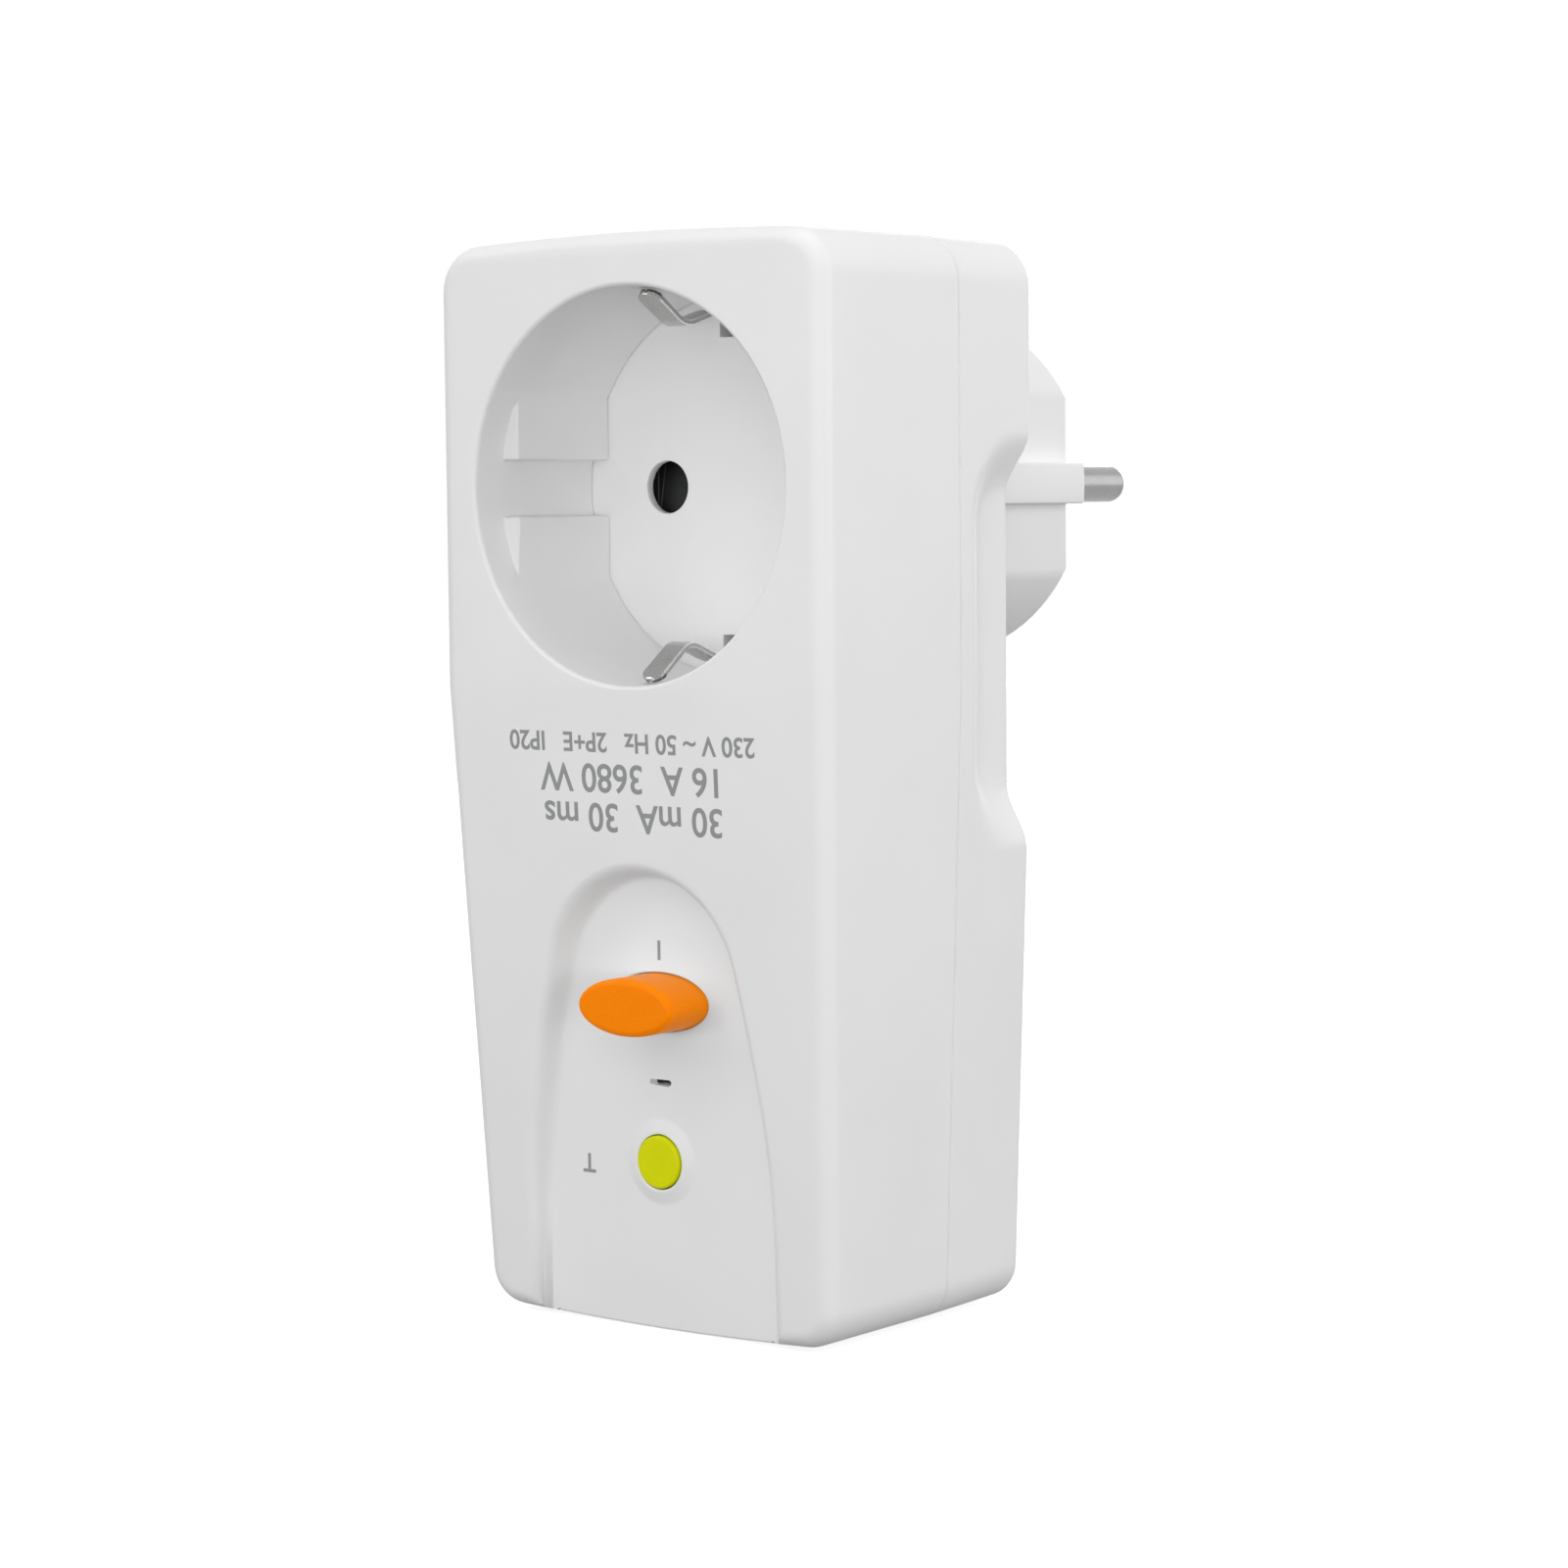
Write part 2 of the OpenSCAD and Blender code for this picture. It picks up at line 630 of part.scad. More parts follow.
module front_housing() color("whitesmoke") difference() {
    union() {
        difference() {
            front_shell();
            panel_recess();
            front_cavity();
            depth_rod(cup_r, -wall, cup_depth + eps);
            depth_revolve() translate([cup_r + rim_r, rim_r]) rotate(180) corner_waste(rim_r);
            earth_relief();
        }
        guide_blocks();
        test_collar();
    }
    depth_prism(0, cavity_d + eps) translate([0, -reset_drop])
        polygon(oval(reset_w + 2 * button_gap, reset_h + 2 * button_gap));
    depth_rod(test_r + button_gap, 0, cavity_d + eps, 0, -test_drop);
    depth_prism(0, cavity_d + eps) translate([0, -slot_drop]) {
        square([slot_w - slot_h, slot_h], center = true);
        for (side = [-1, 1]) translate([side * (slot_w - slot_h) / 2, 0]) circle(slot_h / 2);
    }
    for (p = screw_places) depth_rod(screw_r + seat_gap, screw_end_d - wall / 2, parting_d + eps, p[0], p[1]);
}

// Heights along the side that carry the slopes of a grip
grip_reach = grip_corner_r + groove;
grip_up = [for (i = [0:grip_steps]) grip_top - grip_reach * (1 - i / grip_steps)];
grip_down = [for (i = [0:grip_steps]) -grip_bottom + grip_reach * (1 - i / grip_steps)];
function rear_ring(s, d) = [for (p = outline(s, grip_up, grip_down))
    [p[0] - sign(p[0]) * grip_sink(d, p[1]), y_at(d), p[1]]];
module rear_shell() {
    last_d = body_d - rear_edge_r;
    flank = [for (i = [0:grip_steps]) let (d = grip_d + (last_d - grip_d) * i / grip_steps)
        rear_ring(draft * (d - parting_d) / (last_d - parting_d), d)];
    edge = [for (i = [1:edge_steps]) let (a = 90 * i / edge_steps)
        rear_ring(draft + rear_edge_r * (1 - cos(a)), last_d + rear_edge_r * sin(a))];
    start = [rear_ring(groove, parting_d), rear_ring(0, parting_d + groove)];
    skin(concat(start, flank, edge), left_bend(grip_up));
}
module boss_outline(inset) {
    intersection() {
        circle(boss_r - inset);
        union() {
            square([2 * (boss_flat - inset), 2 * boss_r], center = true);
            square([2 * boss_r, rib_w - 2 * inset], center = true);
        }
    }
}
module rear_cavity() {
    difference() {
        depth_prism(parting_d - eps, rear_in_d) polygon(outline(wall + draft));
        both_sides()
            depth_box(waist_in, body_w, -grip_bottom - wall, grip_top + wall, parting_d - wall, body_d);
        for (p = screw_places) depth_rod(post_out_r, parting_d - wall, body_d, p[0], p[1]);
    }
    depth_prism(rear_in_d - eps, pin_seat_d) boss_outline(wall);
}
module board_standoffs() {
    both_sides() for (z = standoff_zs) {
        depth_rod(standoff_r, board_back_d, rear_in_d + eps, standoff_x, z);
        depth_rod(peg_r, board_d - near_gap, board_back_d + eps, standoff_x, z);
    }
}
// Ribs that press the socket insert home, and the ledge under the transformer
module inner_ribs() {
    rib_at = (cup_r + cup_wall / 2) * sqrt(0.5);
    both_sides() both_ends()
        depth_rod(bus_t * 1.2, floor_back_d + seat_gap, rear_in_d + eps, rib_at, rib_at);
    ledge_z = ct_low_z - slide_gap;
    depth_box(-ct_r, ct_r, ledge_z - bus_t, ledge_z, ct_d + bus_w / 2, rear_in_d + eps);
}
module earth_slots() {
    both_ends() depth_box(
        -earth_w / 2 - slide_gap, earth_w / 2 + slide_gap, boss_r - 2 * wall, boss_r + eps,
        body_d + wall - slide_gap, pin_seat_d + slide_gap
    );
}
module rear_housing() color("white") difference() {
    union() {
        difference() {
            union() {
                rear_shell();
                depth_prism(rear_in_d, boss_face_d) boss_outline(0);
            }
            rear_cavity();
        }
        board_standoffs();
        inner_ribs();
    }
    both_sides() depth_rod(pin_r + pin_root + seat_gap, pin_seat_d - eps, boss_face_d + eps, pin_x);
    earth_slots();
    for (p = screw_places) {
        depth_rod(screw_r + screw_gap, parting_d - eps, head_seat_d + eps, p[0], p[1]);
        depth_rod(head_r + screw_gap, head_seat_d, body_d + eps, p[0], p[1]);
    }
}
module cross_recess(r, d) {
    depth_box(-r, r, -r / 4, r / 4, d, d + r);
    depth_box(-r / 4, r / 4, -r, r, d, d + r);
}
module housing_screws() color("silver") for (p = screw_places) translate([p[0], 0, p[1]]) {
    depth_rod(screw_r, screw_end_d, head_seat_d + eps);
    difference() {
        depth_rod(head_r, head_seat_d, head_seat_d + head_t);
        cross_recess(head_r * 0.6, head_seat_d + head_t / 2);
    }
}

// Socket
// The two posts of the contact carrier, at the upper left and the lower right
module at_posts() {
    translate([-pin_x, 0, post_z]) children();
    translate([pin_x, 0, -post_z]) children();
}
module at_flat_posts() {
    translate([-pin_x, post_z]) children();
    translate([pin_x, -post_z]) children();
}
spring_peg = [-shutter_reach / 2, shutter_reach - wall / 2];
spring_peg_r = post_r / 2;
hair_peg = [pin_x - hole_r, shutter_arm_w / 4];
hair_peg_r = post_r / 3;
module socket_insert() color("gainsboro") difference() {
    union() {
        depth_prism(cup_depth, floor_back_d) intersection() {
            circle(cup_out_r);
            polygon(outline(wall + draft + seat_gap));
        }
        depth_rod(pivot_r, floor_back_d - eps, retainer_d + retainer_t + near_gap);
        at_posts() depth_rod(post_r, floor_back_d - eps, carrier_d);
        depth_rod(spring_peg_r, floor_back_d - eps, retainer_d + retainer_t, spring_peg[0], spring_peg[1]);
    }
    both_sides() {
        depth_rod(hole_r, cup_depth - eps, floor_back_d + eps, pin_x);
        depth_rod(hole_r + hole_step, cup_depth + hole_land, floor_back_d + eps, pin_x);
    }
    both_ends() depth_box(
        -clip_w / 2 - clip_gap, clip_w / 2 + clip_gap, clip_knee - clip_t - slide_gap, cup_r - near_gap,
        cup_depth - eps, floor_back_d + eps
    );
    at_posts() depth_rod(carrier_screw_r, floor_back_d, carrier_d + eps);
}
module shutter_ramp() {
    half = hole_r + slide_gap;
    reach = 2 * shutter_arm_w;
    translate([pin_x, y_at(shutter_d), shutter_arm_w / 2]) rotate([ramp_a, 0, 0])
        translate([-half, -reach, -reach]) cube([2 * half, reach, reach]);
}
module shutter() color("dimgray") {
    difference() {
        depth_prism(shutter_d, shutter_back_d) difference() {
            union() {
                circle(shutter_hub_r);
                intersection() {
                    circle(shutter_reach);
                    square([2 * shutter_reach, shutter_arm_w], center = true);
                }
            }
            circle(pivot_r + near_gap);
        }
        shutter_ramp();
        rotate([0, 180, 0]) shutter_ramp();
    }
    depth_rod(hair_peg_r, shutter_back_d - eps, retainer_d + retainer_t - near_gap, hair_peg[0], hair_peg[1]);
}
spring_ring_r = pivot_r * 2.4;
hair_wire = 0.22;
hair_d = retainer_d + retainer_t / 2;
module hair_leg(from, to) {
    v = to - from;
    translate([from[0], y_at(hair_d), from[1]]) rotate([0, 90 - atan2(v[1], v[0]), 0])
        cylinder(r = hair_wire, h = norm(v));
}
module shutter_spring() color("lightsteelblue") {
    bend = [0, spring_ring_r];
    translate([0, y_at(hair_d), 0]) rotate([90, 0, 0]) rotate_extrude()
        translate([spring_ring_r, 0]) circle(hair_wire);
    hair_leg(bend, spring_peg + [spring_peg_r + 2 * hair_wire, 0]);
    hair_leg(bend, hair_peg + [0, hair_peg_r + 2 * hair_wire]);
}
module shutter_retainer() color("silver") depth_prism(retainer_d, retainer_d + retainer_t) difference() {
    circle(2 * pivot_r);
    circle(pivot_r);
}
module clip_plan() {
    inner_w = clip_w - 2 * clip_tip_r;
    translate([-clip_w / 2, clip_tip_r]) square([clip_w, 2 * strap_d]);
    translate([-inner_w / 2, 0]) square([inner_w, 2 * clip_tip_r]);
    for (side = [-1, 1]) translate([side * inner_w / 2, clip_tip_r]) circle(clip_tip_r);
}
module clip_strip(knee_z) {
    tip = [clip_tip_d, clip_tip];
    knee = [clip_knee_d, knee_z];
    root = [clip_root_d, clip_root];
    end = [strap_d + strap_t / 2, clip_root];
    path = concat([tip], bend(tip, knee, root, clip_bend), bend(knee, root, end, clip_bend), [end]);
    fall = atan2(clip_tip - knee_z, clip_knee_d - clip_tip_d);
    intersection() {
        side_prism(-clip_w / 2, clip_w / 2) polygon(strip_polygon(path, clip_t));
        translate([0, y_at(clip_tip_d), clip_tip]) rotate([-fall, 0, 0])
            linear_extrude(2 * cup_r, center = true) clip_plan();
    }
}
module socket_earth_strap() color("silver") {
    clip_strip(clip_knee);
    mirror([0, 0, 1]) clip_strip(lower_knee);
    reach = clip_root + clip_t / 2;
    depth_box(-clip_w / 2, clip_w / 2, -reach, reach, strap_d, strap_d + strap_t);
}
link_z = 9;
module earth_link() color("silver")
    depth_box(-bus_w / 2, bus_w / 2, link_z, link_z + bus_t, strap_d + strap_t, body_d + wall);
module plug_earth_contacts() color("silver") {
    reach = earth_face - earth_t / 2;
    depth_box(-earth_w / 2, earth_w / 2, -reach, reach, body_d + wall, body_d + wall + earth_t);
    both_ends() depth_box(
        -earth_w / 2, earth_w / 2, earth_face - earth_t, earth_face, body_d + wall, pin_seat_d
    );
}

// Plug pins
module plug_pin(x) {
    tip_d = boss_face_d + pin_len;
    depth_revolve(x) difference() {
        union() {
            translate([0, bus_tab_d - bus_t]) square([tab_hole_r, bus_t + pin_flange_t]);
            translate([0, pin_seat_d - pin_flange_t]) square([pin_flange_r, pin_flange_t]);
            translate([0, pin_seat_d - eps]) square([pin_r + pin_root, boss_face_t + eps]);
            translate([0, pin_seat_d]) square([pin_r, tip_d - pin_seat_d]);
        }
        translate([pin_r - pin_tip_r, tip_d - pin_tip_r]) corner_waste(pin_tip_r);
    }
}
module live_pin() color("silver") plug_pin(pin_x);
module neutral_pin() color("silver") plug_pin(-pin_x);

// Conductors on the right side
module contact_tip(z, d) {
    depth_rod(tip_r, d, d + tip_t + eps, bridge_x, z);
}
module socket_contact() {
    tab_end = tab_d + strip_t;
    bar_d0 = tab_end - bar_w;
    root_z = -(sleeve_r + sleeve_bore_r) / 2;
    slit_end = carrier_d + carrier_t + wall;
    plate_z0 = lower_tip_z - bridge_w / 2;
    plate_z1 = lower_tip_z + bridge_w / 2;
    difference() {
        depth_rod(sleeve_r, sleeve_d, sleeve_d + sleeve_len, pin_x);
        depth_rod(sleeve_bore_r, sleeve_d - eps, sleeve_d + sleeve_len + eps, pin_x);
        depth_box(pin_x - slide_gap, pin_x + slide_gap, 0, 2 * sleeve_r, sleeve_d - eps, slit_end);
    }
    depth_box(pin_x - post_r, bar_x + strip_t, -2 * sleeve_r, root_z, tab_d, tab_end);
    depth_box(bar_x, bar_x + strip_t, plate_z0, root_z, bar_d0, tab_end);
    depth_box(bar_x, bar_x + strip_t, plate_z0, plate_z1, min(fixed_d, bar_d0), tab_end);
    depth_box(bridge_x - bridge_w / 2, bar_x + strip_t, plate_z0, plate_z1, fixed_d, fixed_d + strip_t);
    contact_tip(lower_tip_z, fixed_tip_d);
}
module live_socket_contact() color("goldenrod") socket_contact();
module neutral_socket_contact() color("goldenrod") mirror([1, 0, 0]) socket_contact();
module contact_carrier() color("ivory") depth_prism(carrier_d, carrier_d + carrier_t) difference() {
    union() {
        square([2 * (waist_in - 2 * slide_gap), carrier_h], center = true);
        at_flat_posts() circle(post_r);
        for (side = [-1, 1]) translate([side * pin_x, -side * post_z / 2])
            square([2 * post_r, post_z], center = true);
    }
    for (side = [-1, 1]) translate([side * pin_x, 0]) circle(sleeve_r + near_gap);
    at_flat_posts() circle(carrier_screw_r + near_gap);
}
module carrier_screws() color("silver") at_posts() {
    depth_rod(carrier_screw_r, floor_back_d + wall, carrier_d + carrier_t + eps);
    depth_rod(post_r - near_gap, carrier_d + carrier_t, carrier_d + carrier_t + bus_t);
}
module busbar() {
    run_end = run_x + bus_w;
    neck_end = neck_x + bus_neck_w;
    drop_z = ct_top_z + 3 * bus_t;
    plate_x0 = bridge_x - bridge_w / 2;
    plate_x1 = bridge_x + bridge_w / 2;
    front_d = ct_d - bus_t / 2;
    back_d = ct_d + bus_t / 2;
    depth_prism(bus_tab_d, bus_tab_d + bus_t) difference() {
        union() {
            translate([pin_x, 0]) circle(pin_flange_r);
            polygon([
                [pin_x - pin_flange_r, 0], [pin_x + pin_flange_r, 0],
                [run_end, run_z - bus_t], [run_x, run_z - bus_t]
            ]);
        }
        translate([pin_x, 0]) circle(tab_hole_r);
    }
    depth_box(run_x, run_end, run_z - bus_t, run_z, front_d, bus_tab_d + eps);
    depth_box(run_x, run_end, drop_z - bus_w, run_z, front_d, back_d);
    depth_box(neck_x, run_end, drop_z - bus_w, drop_z, front_d, back_d);
    depth_box(neck_x, neck_end, jog_z - bus_t, drop_z, front_d, back_d);
    depth_box(neck_x, plate_x1, jog_z - bus_t, jog_z, front_d - bus_w, back_d);
    depth_box(plate_x0, plate_x1, jog_z - bus_t, jog_z, fixed_d, back_d);
    depth_box(plate_x0, plate_x1, upper_tip_z - bridge_w / 2, jog_z, fixed_d, fixed_d + strip_t);
    contact_tip(upper_tip_z, fixed_tip_d);
}
module live_busbar() color("peru") busbar();
module neutral_busbar() color("peru") mirror([1, 0, 0]) busbar();

// Current transformer
module transformer_ring(r0, r1, z0, z1) {
    translate([0, y_at(ct_d), 0]) rotate_extrude() translate([r0, z0]) square([r1 - r0, z1 - z0]);
}
module transformer_core() color("darkslategray")
    transformer_ring(ct_bore_r + ct_layer, ct_r - ct_layer, ct_low_z + ct_layer, ct_top_z - ct_layer);
module transformer_winding() color("chocolate") difference() {
    transformer_ring(ct_bore_r, ct_r, ct_low_z, ct_top_z);
    transformer_ring(
        ct_bore_r + ct_layer - seat_gap, ct_r - ct_layer + seat_gap,
        ct_low_z + ct_layer - seat_gap, ct_top_z - ct_layer + seat_gap
    );
}

// Circuit board and what is soldered to it
module circuit_board() color("seagreen") difference() {
    depth_box(-board_w / 2, board_w / 2, -board_bottom, -board_top, board_d, board_back_d);
    both_sides() depth_box(
        waist_in - slide_gap, body_w, -grip_bottom - wall - slide_gap, 0, board_d - eps, board_back_d + eps
    );
    both_sides() for (z = standoff_zs)
        depth_rod(peg_r + seat_gap, board_d - eps, board_back_d + eps, standoff_x, z);
}
chip_w = 5;
chip_t = 1.5;
chip_low_z = -reset_drop - chip_w / 2;
chip_high_z = -reset_drop + chip_w / 2;
chip_x = guide_r + 2 * chip_t;
module control_chip() color("black")
    depth_box(-chip_x - chip_w, -chip_x, chip_low_z, chip_high_z, board_d - chip_t, board_d);
module thyristor() color("black")
    depth_box(chip_x, chip_x + chip_w, chip_low_z, chip_high_z, board_d - 2 * chip_t, board_d);
resistor_count = 4;
resistor_w = 3;
resistor_t = 0.7;
module resistors() color("black") for (i = [0:resistor_count - 1]) {
    half = resistor_w / 2;
    z = -reset_drop + (resistor_count / 2 - i) * resistor_w;
    depth_box(-half, half, z - half, z, board_back_d, board_back_d + resistor_t);
}
part_x = 8.6;
part_w = 6.6;
part_h = 9;
part_tall = 8;
part_z = -60;
module capacitor() color("gold")
    depth_box(-part_x - part_w, -part_x, part_z - part_h, part_z, board_d - part_tall, board_d);
module varistor() color("royalblue") {
    x = part_x + part_w / 2;
    r = part_tall / 2 - slide_gap;
    y = y_at(board_d - part_tall / 2);
    translate([x, y, part_z - part_h / 2]) cylinder(r = r, h = part_h / 3);
    for (side = [-1, 1]) translate([x + side * r / 2, y, part_z - part_h / 3])
        rotate([-90, 0, 0]) cylinder(r = bus_t / 3, h = part_tall / 2);
}
module test_switch() color("black") translate([0, 0, -test_drop]) difference() {
    depth_box(-switch_w / 2, switch_w / 2, -switch_w / 2, switch_w / 2, switch_d, board_d);
    depth_rod(plunger_r + near_gap, switch_d - eps, switch_d + test_travel + 3 * slide_gap);
}
module test_plunger() color("gray")
    depth_rod(plunger_r, plunger_d, switch_d + 2 * slide_gap, 0, -test_drop);

// Buttons
module test_button() color("#c6c917") {
    face_d = panel_d - test_proud;
    flange_d = cavity_d + seat_gap;
    depth_revolve(0, -test_drop) difference() {
        union() {
            translate([0, face_d]) square([test_r, flange_d - face_d + eps]);
            translate([0, flange_d]) square([test_r + flange_lip, flange_t]);
            translate([0, flange_d]) square([plunger_r, plunger_d - flange_d]);
        }
        translate([test_r - test_edge_r, face_d + test_edge_r]) mirror([0, 1]) corner_waste(test_edge_r);
    }
}
function oval_ring(inset, d) = [for (p = oval(reset_w - 2 * inset, reset_h - 2 * inset))
    [p[0], y_at(d), p[1] - reset_drop]];
module reset_button() color("#f68005") {
    face_d = panel_d - reset_proud;
    edge = [for (i = [0:edge_steps]) let (a = 90 * i / edge_steps)
        oval_ring(reset_edge_r * (1 - sin(a)), face_d + reset_edge_r * (1 - cos(a)))];
    skin(concat(edge, [oval_ring(0, reset_flange_d + eps)]));
    depth_prism(reset_flange_d, stem_d) translate([0, -reset_drop])
        polygon(oval(reset_w + 2 * flange_lip, reset_h + 2 * flange_lip));
    stem_low = -reset_drop - stem_h / 2;
    depth_box(-stem_w / 2, stem_w / 2, stem_low, stem_low + stem_h, stem_d - eps, carriage_d);
}

// Sliding carriage and its contacts
module contact_carriage() color("ivory") {
    low = -reset_drop - carriage_h / 2;
    depth_box(-carriage_w / 2, carriage_w / 2, low, low + carriage_h, carriage_d, bridge_d);
    depth_box(-yoke_w / 4, yoke_w / 4, magnet_z - yoke_h / 4, low + eps, carriage_d, bridge_d);
    depth_rod(guide_r, bridge_d - eps, base_back_d + guide_past, 0, -reset_drop);
}
module bridge() {
    depth_box(
        bridge_x - bridge_w / 2, bridge_x + bridge_w / 2,
        lower_tip_z - bridge_w / 2, upper_tip_z + bridge_w / 2, bridge_d, bridge_tip_d
    );
    for (z = [lower_tip_z, upper_tip_z])
        depth_rod(tip_r, bridge_tip_d - eps, bridge_tip_d + tip_t, bridge_x, z);
}
module live_bridge() color("peru") bridge();
module neutral_bridge() color("peru") mirror([1, 0, 0]) bridge();
module contact_base() color("ivory") {
    edge_x = bar_x - base_gap;
    leg_x = edge_x - near_gap - leg_r;
    depth_prism(base_d, base_back_d) difference() {
        translate([-edge_x, base_low_z]) square([2 * edge_x, base_high_z - base_low_z]);
        translate([0, -reset_drop]) circle(guide_r + slide_gap);
    }
    both_sides() for (z = [base_low_z + leg_r, base_high_z - leg_r])
        depth_rod(leg_r, base_back_d - eps, board_d, leg_x, z);
}
function spring_point(t, d0, d1) = let (a = 360 * spring_turns * t)
    [spring_r * cos(a), y_at(d0 + (d1 - d0) * t), spring_r * sin(a) - reset_drop];
function spring_section(t, d0, d1) = let (
    a = 360 * spring_turns * t,
    out = [cos(a), 0, sin(a)],
    along = unit([-sin(a) * spring_r, (d1 - d0) / spring_turns / 2 / PI, cos(a) * spring_r]),
    up = cross(out, along),
    p = spring_point(t, d0, d1)
) [for (j = [0:wire_sides - 1]) let (b = 360 * j / wire_sides)
    p + spring_wire / 2 * (out * cos(b) + up * sin(b))];
module reset_spring() color("lightsteelblue") {
    d0 = bridge_d + spring_wire / 2 + seat_gap;
    d1 = base_d - spring_wire / 2 - seat_gap;
    count = round(wire_steps * spring_turns);
    skin([for (i = [0:count]) spring_section(i / count, d0, d1)]);
}

// Holding magnet
yoke_low_z = magnet_z - yoke_h / 2;
yoke_high_z = magnet_z + yoke_h / 2;
module armature() color("slategray")
    depth_box(-yoke_w / 2, yoke_w / 2, yoke_low_z, yoke_high_z, bridge_d, bridge_d + armature_t);
module magnet_yoke() color("slategray") {
    back_d = board_d - yoke_t;
    depth_box(-yoke_w / 2, yoke_w / 2, yoke_low_z, yoke_high_z, back_d, board_d);
    both_sides() depth_box(yoke_w / 2 - yoke_t, yoke_w / 2, yoke_low_z, yoke_high_z, yoke_d, back_d + eps);
    depth_rod(core_r, yoke_d, back_d + eps, 0, magnet_z);
}
bobbin_t = 0.6;
bobbin_d0 = yoke_d + slide_gap;
bobbin_d1 = board_d - yoke_t - near_gap;
module magnet_bobbin() color("ivory") depth_revolve(0, magnet_z) {
    inner = core_r + seat_gap;
    translate([inner, bobbin_d0]) square([bobbin_t, bobbin_d1 - bobbin_d0]);
    translate([inner, bobbin_d0]) square([bobbin_r - inner, bobbin_t]);
    translate([inner, bobbin_d1 - bobbin_t]) square([bobbin_r - inner, bobbin_t]);
}
module magnet_coil() color("chocolate") depth_revolve(0, magnet_z) {
    inner = core_r + seat_gap + bobbin_t + seat_gap;
    translate([inner, bobbin_d0 + bobbin_t + seat_gap])
        square([bobbin_r - inner - slide_gap, bobbin_d1 - bobbin_d0 - 2 * (bobbin_t + seat_gap)]);
}

front_housing();
rear_housing();
housing_screws();
socket_insert();
shutter();
shutter_spring();
shutter_retainer();
socket_earth_strap();
earth_link();
plug_earth_contacts();
live_pin();
neutral_pin();
live_socket_contact();
neutral_socket_contact();
contact_carrier();
carrier_screws();
live_busbar();
neutral_busbar();
transformer_core();
transformer_winding();
circuit_board();
control_chip();
thyristor();
resistors();
capacitor();
varistor();
test_switch();
test_plunger();
test_button();
reset_button();
contact_carriage();
live_bridge();
neutral_bridge();
contact_base();
reset_spring();
armature();
magnet_yoke();
magnet_bobbin();
magnet_coil();
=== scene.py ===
import json
import math

import bmesh
import bpy
from mathutils import Matrix, Vector


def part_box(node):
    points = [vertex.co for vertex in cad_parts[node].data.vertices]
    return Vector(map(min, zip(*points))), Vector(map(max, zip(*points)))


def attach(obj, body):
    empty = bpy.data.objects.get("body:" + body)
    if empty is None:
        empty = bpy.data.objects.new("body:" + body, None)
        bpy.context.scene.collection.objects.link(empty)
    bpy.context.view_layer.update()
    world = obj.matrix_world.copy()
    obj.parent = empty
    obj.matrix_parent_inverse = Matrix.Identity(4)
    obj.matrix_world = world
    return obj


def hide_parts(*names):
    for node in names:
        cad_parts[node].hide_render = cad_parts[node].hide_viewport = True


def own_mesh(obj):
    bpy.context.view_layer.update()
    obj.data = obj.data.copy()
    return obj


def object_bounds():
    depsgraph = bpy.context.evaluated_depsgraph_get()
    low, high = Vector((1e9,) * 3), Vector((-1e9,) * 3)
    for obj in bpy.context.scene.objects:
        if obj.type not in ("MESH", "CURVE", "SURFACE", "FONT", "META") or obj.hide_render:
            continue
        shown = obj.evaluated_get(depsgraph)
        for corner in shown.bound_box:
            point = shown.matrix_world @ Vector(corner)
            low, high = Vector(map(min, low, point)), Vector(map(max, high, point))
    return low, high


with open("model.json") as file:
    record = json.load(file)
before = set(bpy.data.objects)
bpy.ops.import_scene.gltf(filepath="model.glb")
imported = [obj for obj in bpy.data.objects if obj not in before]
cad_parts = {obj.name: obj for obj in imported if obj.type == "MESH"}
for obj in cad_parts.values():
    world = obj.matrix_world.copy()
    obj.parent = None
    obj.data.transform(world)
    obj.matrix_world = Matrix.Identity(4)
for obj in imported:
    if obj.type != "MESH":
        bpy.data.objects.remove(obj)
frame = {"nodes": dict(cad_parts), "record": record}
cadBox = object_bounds()
mm = 0.001
scene = bpy.context.scene
scene.view_settings.view_transform = "Standard"
bodyOf = {node: body for body, nodes in frame["record"]["behaviour"]["bodies"].items() for node in nodes}
print("frame loaded:", len(frame["nodes"]), "nodes")


# Camera, at the place from which the object was photographed
photoCamera = {
    "place": (239.18 * mm, -343.07 * mm, -1.64 * mm),
    "turn": 37.303,      # degrees from straight on
    "down": 4.211,       # degrees below level
    "roll": -0.595,
    "lens": 87.96,       # mm
    "sensor": 36,        # mm, square
    "nearest": 10 * mm,
}


def makeCamera(c):
    data = bpy.data.cameras.new("photoCamera")
    data.sensor_fit = "HORIZONTAL"
    data.sensor_width = c["sensor"]
    data.lens = c["lens"]
    data.clip_start = c["nearest"]
    cam = bpy.data.objects.new("photoCamera", data)
    scene.collection.objects.link(cam)
    turn = Matrix.Rotation(math.radians(c["turn"]), 4, "Z")
    tilt = Matrix.Rotation(math.radians(90 - c["down"]), 4, "X")
    roll = Matrix.Rotation(math.radians(c["roll"]), 4, "Z")
    cam.matrix_world = Matrix.Translation(c["place"]) @ turn @ tilt @ roll
    scene.camera = cam


makeCamera(photoCamera)
print("camera placed")


# Materials
noiseLow, noiseHigh = 0.3, 0.7          # most of a noise lies between these, so tone and roughness spread over them
grainDetail, cloudDetail = 3.0, 2.0     # how many finer noises are laid over the first


def linear(hexColour):
    # sRGB hex to the linear values that the shaders take
    parts = [int(hexColour[i:i + 2], 16) / 255 for i in (1, 3, 5)]
    return tuple(p / 12.92 if p <= 0.04045 else ((p + 0.055) / 1.055) ** 2.4 for p in parts) + (1,)


